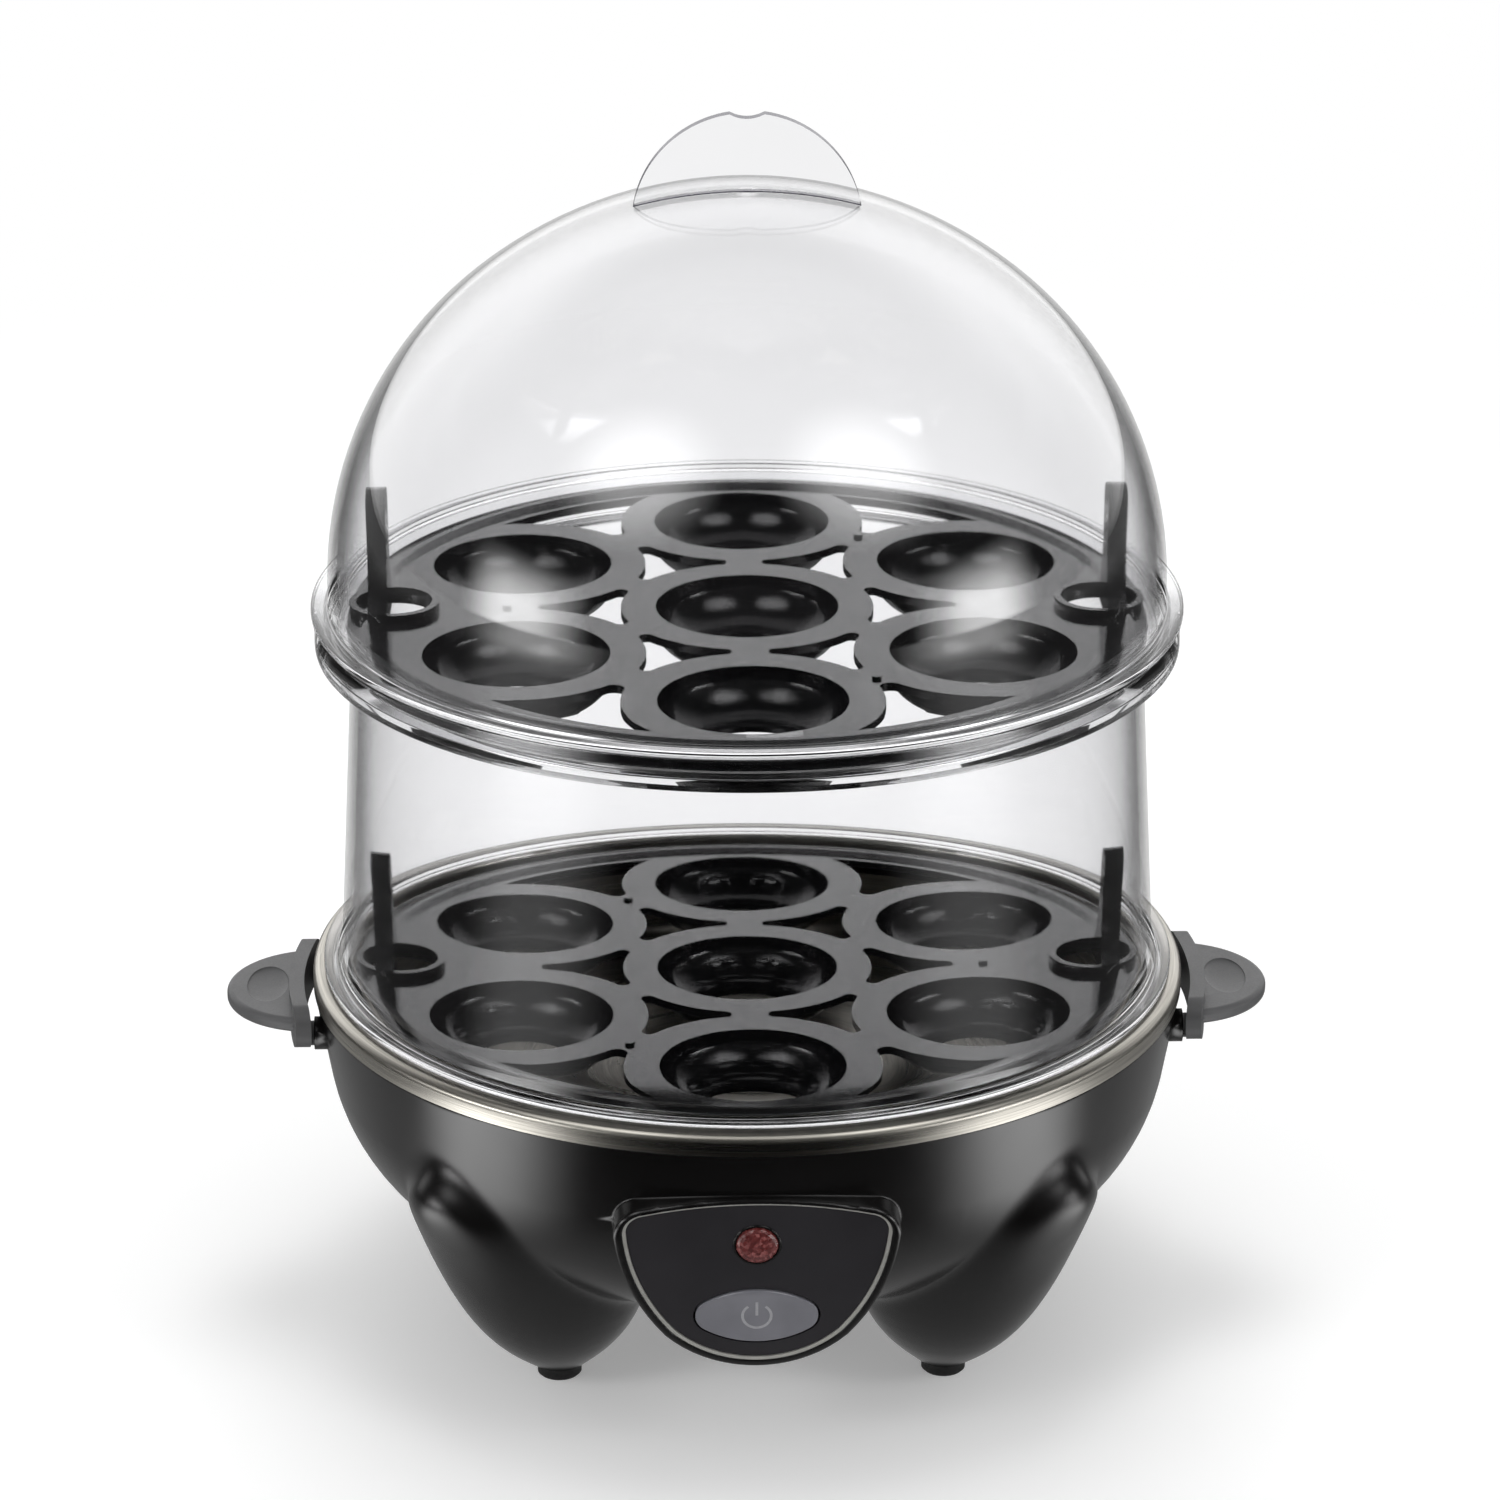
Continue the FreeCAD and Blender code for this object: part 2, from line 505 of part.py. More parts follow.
def pocket(body, sketch, length, **settings):
    return feature(body, "Pocket", sketch, Length=length, **settings)


def revolve(body, sketch, kind="Revolution", angle="360"):
    """Turn a sketch about its own vertical axis."""
    return feature(body, kind, sketch, ReferenceAxis=(sketch, ["V_Axis"]), Angle=angle)


def loft(body, kind, sketches):
    return feature(body, kind, sketches[0], Sections=sketches[1:])


def ring_of(body, originals, count, angle=360.0):
    """Copy features round the body's Z axis."""
    pattern = body.newObject("PartDesign::PolarPattern", "PolarPattern")
    pattern.Originals = originals
    pattern.Axis = (origin_feature(body, "Z_Axis"), [""])
    pattern.Angle = angle
    pattern.Occurrences = count
    body.Tip = pattern
    return pattern


def round_edges(body, base, radius, wanted):
    """Round every edge of a feature for which wanted(edge) holds."""
    doc.recompute()
    names = [f"Edge{i}" for i, edge in enumerate(base.Shape.Edges, start=1) if wanted(edge)]
    rounded = body.newObject("PartDesign::Fillet", "Fillet")
    rounded.Base = (base, names)
    rounded.setExpression("Radius", formula(radius))
    return rounded


def place(body, across="0", back="0", up="0", axis=(0, 0, 1), angle="0"):
    """Bind a body's placement to expressions."""
    turn = f"rotation(vector({axis[0]}; {axis[1]}; {axis[2]}); {formula(angle)})"
    spot = f"vector({formula(across)}; {formula(back)}; {formula(up)})"
    body.setExpression("Placement", f"placement({spot}; {turn})")


def place_on_panel(body, across="0", drop="0", depth="0"):
    """Put a body in the panel's frame: X across, Y up the slope and Z out of the panel. Drop is measured
    down the slope from the plate's top edge, and depth inwards from the bezel's face."""
    place(body, across,
          f"-panel_front + ({drop}) * sin(panel_tilt) + ({depth}) * cos(panel_tilt)",
          f"panel_top - ({drop}) * cos(panel_tilt) + ({depth}) * sin(panel_tilt)",
          axis=(1, 0, 0), angle="90 + panel_tilt")


def slope_sketch(body, depth="0"):
    """A sketch of the housing in the panel's frame, at a depth behind the bezel's face."""
    sketch = new_sketch(body, "XZ_Plane")
    sketch.setExpression("AttachmentOffset", formula(
        f"placement(vector(0; panel_top + ({depth}) * sin(panel_tilt); panel_front - ({depth}) * cos(panel_tilt));"
        " rotation(vector(1; 0; 0); panel_tilt))"))
    return sketch


def shield(sketch, grow):
    """The panel's shield outline in its own frame, grown all round by an expression, though less over its top."""
    top = f"plate_half_width - corner_run + slant_ratio * ({grow})"
    top_up = f"-plate_corner_drop + corner_lift + brow_ratio * ({grow})"
    side = f"plate_half_width - corner_lean + spread_ratio * ({grow})"
    side_up = f"-plate_corner_drop - corner_run - sink_ratio * ({grow})"
    hip = f"plate_hip_half_width + hip_out_ratio * ({grow})"
    hip_up = f"-plate_hip_drop - hip_down_ratio * ({grow})"
    return outline(
        sketch,
        (f"-({top})", top_up, f"plate_arch + {grow}"),
        (f"-({side})", side_up, f"plate_corner + {grow}"),
        (f"-({hip})", hip_up, f"plate_side + {grow}"),
        (hip, hip_up, f"plate_chin + {grow}"),
        (side, side_up, f"plate_side + {grow}"),
        (top, top_up, f"plate_corner + {grow}"),
    )


def button_oval(sketch, grow, drop="0"):
    """The power button's four-centre oval: two end arcs that run into a flatter top and bottom."""
    a, b, e = (f"({size} + {grow})" for size in ("button_half_width", "button_half_height", "button_end"))
    flat = f"((({a} - {e}) ^ 2 + {b} ^ 2 - {e} ^ 2) / (2 * ({b} - {e})))"
    across = f"({a} - {e}) * {flat} / ({flat} - {e})"
    rise = f"{e} * ({flat} - {b}) / ({flat} - {e})"
    return outline(
        sketch,
        (across, f"-({drop}) + {rise}", e),
        (f"-({across})", f"-({drop}) + {rise}", flat),
        (f"-({across})", f"-({drop}) - {rise}", e),
        (across, f"-({drop}) - {rise}", flat),
    )


def bowl_section(sketch, inset):
    """Half of the bowl's section, inset from its outside and open at the rim."""
    side = f"bowl_rim_radius - {inset} / cos(bowl_draft)"
    turn = f"(bowl_turn - {inset})"
    reach = f"{turn} / tan((90 + bowl_draft) / 2)"
    floor = f"bowl_floor + {inset}"
    corner = f"{side} - (bowl_rim - {floor}) * tan(bowl_draft)"
    return outline(
        sketch,
        ("0", "bowl_rim"),
        ("0", floor),
        (f"{corner} - {reach}", floor),
        (f"{corner} + {reach} * sin(bowl_draft)", f"{floor} + {reach} * cos(bowl_draft)", turn),
        (side, "bowl_rim"),
    )


def leg_sketches(body, names, thinner):
    """Round sections of the front right leg, thinner than outside by an expression."""
    sketches = []
    for name in names:
        spot = f"leg_{name}_reach * cos(45)"
        sketch = new_sketch(body, "XY_Plane", (0, 0, f"leg_{name}_height"))
        sketches.append(circle(sketch, spot, f"-{spot}", f"leg_{name}_radius - {thinner}"))
    return sketches


def housing_shell(body):
    """The outside of the moulding, then the hollows inside bowl, legs and panel."""
    revolve(body, bowl_section(new_sketch(body, "XZ_Plane"), "0"))
    sole = new_sketch(body, "XY_Plane", (0, 0, "foot_height"))
    circle(sole, "leg_foot_reach * cos(45)", "-leg_foot_reach * cos(45)", "leg_foot_radius")
    leg = loft(body, "AdditiveLoft", [sole] + leg_sketches(body, LEG_SECTIONS, "0"))
    legs = ring_of(body, [leg], 4)
    calf = number("leg_calf_height")
    round_edges(body, legs, "leg_blend", lambda edge: not isinstance(edge.Curve, (Part.Circle, Part.Line))
                and all(vertex.Point.z > calf for vertex in edge.Vertexes))
    boss = pad(body, shield(slope_sketch(body), "bezel_width"), "bezel_depth", Reversed=True)
    tilt = math.radians(number("panel_tilt"))
    outward = FreeCAD.Vector(0, -math.cos(tilt), -math.sin(tilt))
    face = outward.dot(FreeCAD.Vector(0, -number("panel_front"), number("panel_top")))
    round_edges(body, boss, "bezel_round",
                lambda edge: all(abs(outward.dot(vertex.Point) - face) < 1e-4 for vertex in edge.Vertexes))
    revolve(body, bowl_section(new_sketch(body, "XZ_Plane"), "housing_wall"), "Groove")
    hollow = loft(body, "SubtractiveLoft", leg_sketches(body, HOLLOW_SECTIONS, "leg_wall"))
    ring_of(body, [hollow], 4)
    pocket(body, shield(slope_sketch(body, "panel_wall_back"), "-trim_width"), "bezel_depth")


def housing_panel_seat(body):
    """The plate's recess, the holes for lens and button, and the posts that carry the switch."""
    pocket(body, shield(slope_sketch(body), "trim_width"), "plate_back")
    holes = button_oval(slope_sketch(body, "plate_back"), "button_gap", "button_drop")
    circle(holes, "0", "-lens_drop", "lens_radius + fit_gap")
    pocket(body, holes, "panel_wall")
    posts = slope_sketch(body, "panel_wall_back - panel_wall / 2")
    pair_of_circles(posts, "switch_post_reach", "-switch_post_drop", "switch_post_radius")
    pad(body, posts, "bracket_front - panel_wall_back + panel_wall / 2", Reversed=True)
    drill = slope_sketch(body, "bracket_front")
    pair_of_circles(drill, "switch_post_reach", "-switch_post_drop", "small_screw_radius + fit_gap")
    pocket(body, drill, "small_screw_bite + blind_gap", Reversed=True)


def housing_side_seats(body):
    """The boss round the cord gland and the lugs behind the handles' feet, drilled for their screws."""
    boss = circle(new_sketch(body, "XZ_Plane", (0, 0, "-gland_face")), "0", "gland_height", "gland_boss_radius")
    pad(body, boss, "gland_boss_length")
    bore = circle(new_sketch(body, "XZ_Plane", (0, 0, "-gland_face")), "0", "gland_height", "gland_radius + fit_gap")
    pocket(body, bore, "gland_boss_length", Reversed=True)
    lugs = new_sketch(body, "YZ_Plane", (0, 0, "handle_seat"))
    pair_of_circles(lugs, "handle_foot_spacing", "handle_height", "handle_lug_radius")
    lug = pad(body, lugs, "handle_lug_depth", Reversed=True)
    drill = new_sketch(body, "YZ_Plane", (0, 0, "handle_seat"))
    pair_of_circles(drill, "handle_foot_spacing", "handle_height", "screw_radius + screw_gap")
    hole = pocket(body, drill, "handle_lug_depth")
    ring_of(body, [lug, hole], 2)


def housing_floor_seats(body):
    """Bosses under the pan's standoffs, the land and opening for the bottom cover, and holes for the feet."""
    bosses = new_sketch(body, "XY_Plane", (0, 0, "bowl_floor + housing_wall / 2"))
    circle(bosses, "standoff_reach", "0", "standoff_boss_radius")
    boss = pad(body, bosses, "standoff_seat - bowl_floor - housing_wall / 2")
    ring_of(body, [boss], 3, angle=180.0)
    land = circle(new_sketch(body, "XY_Plane", (0, 0, "bowl_floor")), "0", "0", "land_radius")
    pad(body, land, "land_top - bowl_floor")
    opening = circle(new_sketch(body, "XY_Plane", (0, 0, "land_top")), "0", "0", "cover_opening")
    pocket(body, opening, "land_top - bowl_floor")
    recess = circle(new_sketch(body, "XY_Plane", (0, 0, "cover_seat")), "0", "0", "cover_radius + screw_gap")
    pocket(body, recess, "cover_thickness")
    drill = circle(new_sketch(body, "XY_Plane", (0, 0, "cover_seat")), *polar(("cover_screw_reach", 45)),
                   "screw_radius + fit_gap")
    hole = pocket(body, drill, "cover_screw_bite + blind_gap", Reversed=True)
    ring_of(body, [hole], 4)
    block = new_sketch(body, "XY_Plane", (0, 0, "land_top"))
    pair_of_circles(block, "terminal_screw_reach", "terminal_back + terminal_depth / 2",
                    "small_screw_radius + fit_gap")
    pocket(body, block, "small_screw_bite + blind_gap")
    stem = new_sketch(body, "XY_Plane", (0, 0, "foot_height"))
    circle(stem, "leg_foot_reach * cos(45)", "leg_foot_reach * sin(45)", "foot_stem_radius + fit_gap")
    plug = pocket(body, stem, "foot_stem_length + blind_gap", Reversed=True)
    ring_of(body, [plug], 4)


def base_housing():
    """Black moulded bowl on four legs, with a seat for everything that it carries."""
    body = new_body("base_housing")
    housing_shell(body)
    housing_panel_seat(body)
    housing_side_seats(body)
    housing_floor_seats(body)


def rubber_feet():
    """Four round rubber feet, each plugged into the end of a leg."""
    for quarter, angle in QUARTER_NAMES.items():
        body = new_body(f"rubber_foot_{quarter}")
        revolve(body, outline(
            new_sketch(body, "XZ_Plane"),
            ("0", "0"),
            ("foot_radius - foot_chamfer", "0"),
            ("foot_radius", "foot_chamfer"),
            ("foot_radius", "foot_height"),
            ("foot_stem_radius", "foot_height"),
            ("foot_stem_radius", "foot_height + foot_stem_length"),
            ("0", "foot_height + foot_stem_length"),
        ))
        place(body, *polar(("leg_foot_reach", angle)))


def screw(label, kind, length):
    """A pan-head screw whose head seats at the origin and whose shank points up."""
    body = new_body(label)
    revolve(body, outline(
        new_sketch(body, "XZ_Plane"),
        ("0", f"-{kind}_head_height"),
        (f"0.6 * {kind}_head_radius", f"-{kind}_head_height"),
        (f"{kind}_head_radius", "0", f"1.2 * {kind}_head_radius"),
        (f"{kind}_radius", "0"),
        (f"{kind}_radius", length),
        ("0", length),
    ))
    return body


def bottom_cover():
    """Round plate under the bowl, with vent slots, and the four screws that hold it."""
    body = new_body("bottom_cover")
    disc = circle(new_sketch(body, "XY_Plane", (0, 0, "bowl_floor")), "0", "0", "cover_radius")
    pad(body, disc, "cover_thickness")
    seat = circle(new_sketch(body, "XY_Plane", (0, 0, "bowl_floor")), "cover_screw_reach", "0",
                  "screw_head_radius + screw_gap")
    counterbore = pocket(body, seat, "counterbore_depth", Reversed=True)
    drill = circle(new_sketch(body, "XY_Plane", (0, 0, "bowl_floor")), "cover_screw_reach", "0",
                   "screw_radius + screw_gap")
    hole = pocket(body, drill, "cover_thickness", Reversed=True)
    ring_of(body, [counterbore, hole], 4)
    slot = rectangle(new_sketch(body, "XY_Plane", (0, 0, "bowl_floor")), "cover_slot_reach",
                     "cover_slot_reach + cover_slot_length", "-cover_slot_width / 2", "cover_slot_width / 2")
    vent = pocket(body, slot, "cover_thickness", Reversed=True)
    ring_of(body, [vent], 8)
    place(body, angle="45")
    for quarter, angle in QUARTER_NAMES.items():
        made = screw(f"cover_screw_{quarter}", "screw", "cover_thickness - counterbore_depth + cover_screw_bite")
        place(made, *polar(("cover_screw_reach", angle)), up="bowl_floor + counterbore_depth")


def heating_pan():
    """Pressed steel water pan: a rolled rim, a ledge for the tray and a bowl with a flat floor."""
    body = new_body("heating_pan")
    revolve(body, outline(
        new_sketch(body, "XZ_Plane"),
        ("0", "pan_underside"),
        ("pan_radius - pan_corner", "pan_underside"),
        ("pan_radius + pan_sheet", "pan_floor + pan_corner", "pan_corner + pan_sheet"),
        ("pan_radius + pan_sheet", "ledge_top - pan_sheet"),
        ("rim_opening + pan_sheet", "ledge_top - pan_sheet"),
        ("rim_opening + pan_sheet", "bowl_rim"),
        ("band_radius", "bowl_rim"),
        ("band_radius", "rim_top - band_round"),
        ("band_radius - band_round", "rim_top", "band_round"),
        ("rim_opening + pan_sheet", "rim_top"),
        ("rim_opening", "rim_top - pan_sheet", "pan_sheet"),
        ("rim_opening", "ledge_top"),
        ("pan_radius", "ledge_top"),
        ("pan_radius", "pan_floor + pan_corner"),
        ("pan_radius - pan_corner", "pan_floor", "-pan_corner"),
        ("0", "pan_floor"),
    ))


def pan_standoffs():
    """Three standoffs between the housing's bosses and the pan's floor."""
    for side, angle in (("right", 0), ("rear", 90), ("left", 180)):
        body = new_body(f"pan_standoff_{side}")
        pad(body, circle(new_sketch(body, "XY_Plane"), "0", "0", "standoff_radius"), "pan_underside - standoff_seat")
        place(body, *polar(("standoff_reach", angle)), up="standoff_seat")


def heat_spreader():
    """Aluminium disc brazed under the pan, drilled for the thermostat's bracket."""
    body = new_body("heat_spreader")
    disc = circle(new_sketch(body, "XY_Plane", (0, 0, "spreader_underside")), "0", "0", "spreader_radius")
    pad(body, disc, "spreader_thickness")
    drill = new_sketch(body, "XY_Plane", (0, 0, "spreader_underside"))
    pair_of_circles(drill, "strap_screw_reach", "0", "small_screw_radius + fit_gap")
    pocket(body, drill, "strap_screw_bite + blind_gap", Reversed=True)


def heating_element():
    """C-shaped sheathed element under the spreader, with a terminal pin near each end."""
    body = new_body("heating_element")
    section = outline(
        new_sketch(body, "XZ_Plane"),
        ("element_reach - element_width / 2", "spreader_underside"),
        ("element_reach - element_width / 2", "spreader_underside - element_height / 2"),
        ("element_reach + element_width / 2", "spreader_underside - element_height / 2", "element_curve"),
        ("element_reach + element_width / 2", "spreader_underside"),
    )
    revolve(body, section, angle="element_sweep")
    pins = new_sketch(body, "XY_Plane", (0, 0, "spreader_underside - element_height / 2"))
    circle(pins, *polar(("element_reach", "element_pin_inset")), "element_pin_radius")
    circle(pins, *polar(("element_reach", "element_sweep - element_pin_inset")), "element_pin_radius")
    pad(body, pins, "element_height / 2 + element_pin_length", Reversed=True)
    place(body, angle="90 + (360 - element_sweep) / 2")


def thermostat():
    """Snap-disc thermostat pressed against the middle of the spreader by a bent strap and two screws."""
    body = new_body("thermostat")
    disc = circle(new_sketch(body, "XY_Plane", (0, 0, "spreader_underside")), "0", "0", "thermostat_radius")
    pad(body, disc, "thermostat_height", Reversed=True)

    bracket = new_body("thermostat_bracket")
    inside = "(thermostat_radius + running_gap)"
    outside = f"({inside} + strap_thickness)"
    toe = f"({outside} + strap_foot)"
    low = "spreader_underside - thermostat_height"
    strap = outline(
        new_sketch(bracket, "XZ_Plane"),
        (f"-{toe}", "spreader_underside - strap_thickness"),
        (f"-{outside}", "spreader_underside - strap_thickness"),
        (f"-{outside}", f"{low} - strap_thickness"),
        (outside, f"{low} - strap_thickness"),
        (outside, "spreader_underside - strap_thickness"),
        (toe, "spreader_underside - strap_thickness"),
        (toe, "spreader_underside"),
        (inside, "spreader_underside"),
        (inside, low),
        (f"-{inside}", low),
        (f"-{inside}", "spreader_underside"),
        (f"-{toe}", "spreader_underside"),
    )
    pad(bracket, strap, "strap_width", SideType="Symmetric")
    drill = new_sketch(bracket, "XY_Plane", (0, 0, "spreader_underside"))
    pair_of_circles(drill, "strap_screw_reach", "0", "small_screw_radius + fit_gap")
    pocket(bracket, drill, "strap_thickness")
    for side, sign in (("right", ""), ("left", "-")):
        made = screw(f"bracket_screw_{side}", "small_screw", "strap_thickness + strap_screw_bite")
        place(made, f"{sign}strap_screw_reach", up="spreader_underside - strap_thickness")


def thermal_fuse():
    """Thermal cut-out, a small cylinder in a saddle clip under the spreader."""
    body = new_body("thermal_fuse")
    barrel = circle(new_sketch(body, "YZ_Plane"), "fuse_back", "fuse_height", "fuse_radius")
    pad(body, barrel, "fuse_length", SideType="Symmetric")

    clip = new_body("fuse_clip")
    saddle = rectangle(
        new_sketch(clip, "YZ_Plane"),
        "fuse_back - fuse_radius - fuse_clip_wall", "fuse_back + fuse_radius + fuse_clip_wall",
        "fuse_height - fuse_radius - fuse_clip_wall", "spreader_underside")
    circle(saddle, "fuse_back", "fuse_height", "fuse_radius + fit_gap")
    pad(clip, saddle, "fuse_clip_width", SideType="Symmetric")


def control_panel():
    """Satin shield-shaped plate, open for the lens and the button, in a thin bright frame."""
    body = new_body("control_panel")
    pad(body, shield(new_sketch(body, "XY_Plane", (0, 0, "-plate_back")), "-fit_gap"), "plate_thickness")
    holes = button_oval(new_sketch(body, "XY_Plane", (0, 0, "-plate_inset")), "button_gap", "button_drop")
    circle(holes, "0", "-lens_drop", "lens_radius + fit_gap")
    pocket(body, holes, "plate_thickness")
    place_on_panel(body)

    trim = new_body("panel_trim")
    frame = shield(new_sketch(trim, "XY_Plane", (0, 0, "-plate_back")), "trim_width - fit_gap")
    pad(trim, shield(frame, "0"), "plate_thickness + trim_rise")
    place_on_panel(trim)


def indicator_lens():
    """Red moulded lens: a domed face, a barrel through the panel and a flange behind the wall."""
    body = new_body("indicator_lens")
    revolve(body, outline(
        new_sketch(body, "XZ_Plane"),
        ("lamp_radius + running_gap", "-lens_back"),
        ("lens_flange", "-lens_back"),
        ("lens_flange", "-panel_wall_back"),
        ("lens_radius", "-panel_wall_back"),
        ("lens_radius", "-plate_inset"),
        ("0", "lens_crown - plate_inset", "lens_curve"),
        ("0", "-lens_flange_thickness"),
        ("lamp_radius + running_gap", "-lens_flange_thickness"),
    ))
    place_on_panel(body, drop="lens_drop")


def indicator_lamp():
    """Neon lamp with a domed end inside the lens, and the cup that holds it behind the flange."""
    body = new_body("indicator_lamp")
    shoulder = "-lens_flange_thickness - lamp_radius - running_gap"
    revolve(body, outline(
        new_sketch(body, "XZ_Plane"),
        ("0", "lens_flange_thickness - lens_back - holder_length"),
        ("lamp_radius", "lens_flange_thickness - lens_back - holder_length"),
        ("lamp_radius", shoulder),
        ("0", f"{shoulder} + lamp_radius", "lamp_radius"),
    ))
    place_on_panel(body, drop="lens_drop")

    holder = new_body("lamp_holder")
    revolve(holder, outline(
        new_sketch(holder, "XZ_Plane"),
        ("0", "-lens_back - holder_length"),
        ("lens_flange", "-lens_back - holder_length"),
        ("lens_flange", "-lens_back"),
        ("lamp_radius + fit_gap", "-lens_back"),
        ("lamp_radius + fit_gap", "lens_flange_thickness - lens_back - holder_length"),
        ("0", "lens_flange_thickness - lens_back - holder_length"),
    ))
    place_on_panel(holder, drop="lens_drop")


def power_button():
    """Oval cap in the panel's window, with a flange behind the wall and a stem to the switch."""
    body = new_body("power_button")
    root = button_oval(new_sketch(body, "XY_Plane", (0, 0, "-cap_back")), "0")
    cap = pad(body, root, "cap_back + button_stand - plate_inset")
    top = number("button_stand - plate_inset")
    round_edges(body, cap, "button_stand",
                lambda edge: all(abs(vertex.Z - top) < 1e-4 for vertex in edge.Vertexes))
    scoop = new_sketch(body, "YZ_Plane")
    circle(scoop, "0", "button_stand - plate_inset - button_scoop_depth + button_scoop", "button_scoop")
    pocket(body, scoop, "2 * button_half_width", SideType="Symmetric")
    flange = button_oval(new_sketch(body, "XY_Plane", (0, 0, "-flange_back")), "button_flange")
    pad(body, flange, "button_flange_thickness")
    stem = circle(new_sketch(body, "XY_Plane", (0, 0, "-flange_back")), "0", "0", "button_stem_radius")
    pad(body, stem, "button_stem_length", Reversed=True)
    place_on_panel(body, drop="button_drop")


def button_spring():
    """Return spring round the button's stem, on the switch's bracket, at its length when pressed."""
    body = new_body("button_spring")
    wire = circle(new_sketch(body, "XZ_Plane"), "spring_radius", "spring_wire + fit_gap - bracket_front", "spring_wire")
    coil = body.newObject("PartDesign::AdditiveHelix", "AdditiveHelix")
    coil.Profile = wire
    coil.ReferenceAxis = (wire, ["V_Axis"])
    coil.Mode = "pitch-height-angle"
    coil.setExpression("Height", formula("spring_length - 2 * spring_wire"))
    coil.setExpression("Pitch", formula("spring_pitch"))
    wire.Visibility = False
    place_on_panel(body, drop="button_drop")


def switch():
    """Latching push switch with two blade terminals, on a bracket screwed to the housing's two posts."""
    body = new_body("switch_body")
    case = rectangle(new_sketch(body, "XY_Plane", (0, 0, "-bracket_back")), "-switch_half_width",
                     "switch_half_width", "-switch_half_height", "switch_half_height")
    pad(body, case, "switch_depth", Reversed=True)
    nose = circle(new_sketch(body, "XY_Plane", (0, 0, "-bracket_front")), "0", "0", "button_stem_radius")
    pad(body, nose, "bracket_thickness", Reversed=True)
    blades = new_sketch(body, "XY_Plane", (0, 0, "-bracket_back - switch_depth"))
    for sign in ("", "-"):
        middle = f"{sign}blade_spacing"
        rectangle(blades, f"{middle} - blade_thickness / 2", f"{middle} + blade_thickness / 2",
                  "-blade_width / 2", "blade_width / 2")
    pad(body, blades, "blade_length", Reversed=True)
    place_on_panel(body, drop="button_drop")

    bracket = new_body("switch_bracket")
    arm = "switch_post_reach + switch_post_radius"
    crotch = "switch_post_reach - switch_post_radius"
    waist = "switch_half_width + bracket_thickness"
    brow = "button_drop - switch_post_drop + switch_post_radius"
    plate = outline(
        new_sketch(bracket, "XY_Plane", (0, 0, "-bracket_front")),
        (f"-({waist})", "-switch_half_height"),
        (waist, "-switch_half_height"),
        (waist, "switch_half_height / 2"),
        (arm, "switch_half_height / 2"),
        (arm, brow),
        (crotch, brow),
        (crotch, "switch_half_height + bracket_thickness"),
        (f"-({crotch})", "switch_half_height + bracket_thickness"),
        (f"-({crotch})", brow),
        (f"-({arm})", brow),
        (f"-({arm})", "switch_half_height / 2"),
        (f"-({waist})", "switch_half_height / 2"),
    )
    circle(plate, "0", "0", "button_stem_radius + running_gap")
    pair_of_circles(plate, "switch_post_reach", "button_drop - switch_post_drop", "small_screw_radius + fit_gap")
    pad(bracket, plate, "bracket_thickness", Reversed=True)
    place_on_panel(bracket, drop="button_drop")
    for side, sign in (("right", ""), ("left", "-")):
        made = screw(f"switch_screw_{side}", "small_screw", "bracket_thickness + small_screw_bite")
        place_on_panel(made, f"{sign}switch_post_reach", "switch_post_drop", "bracket_back")


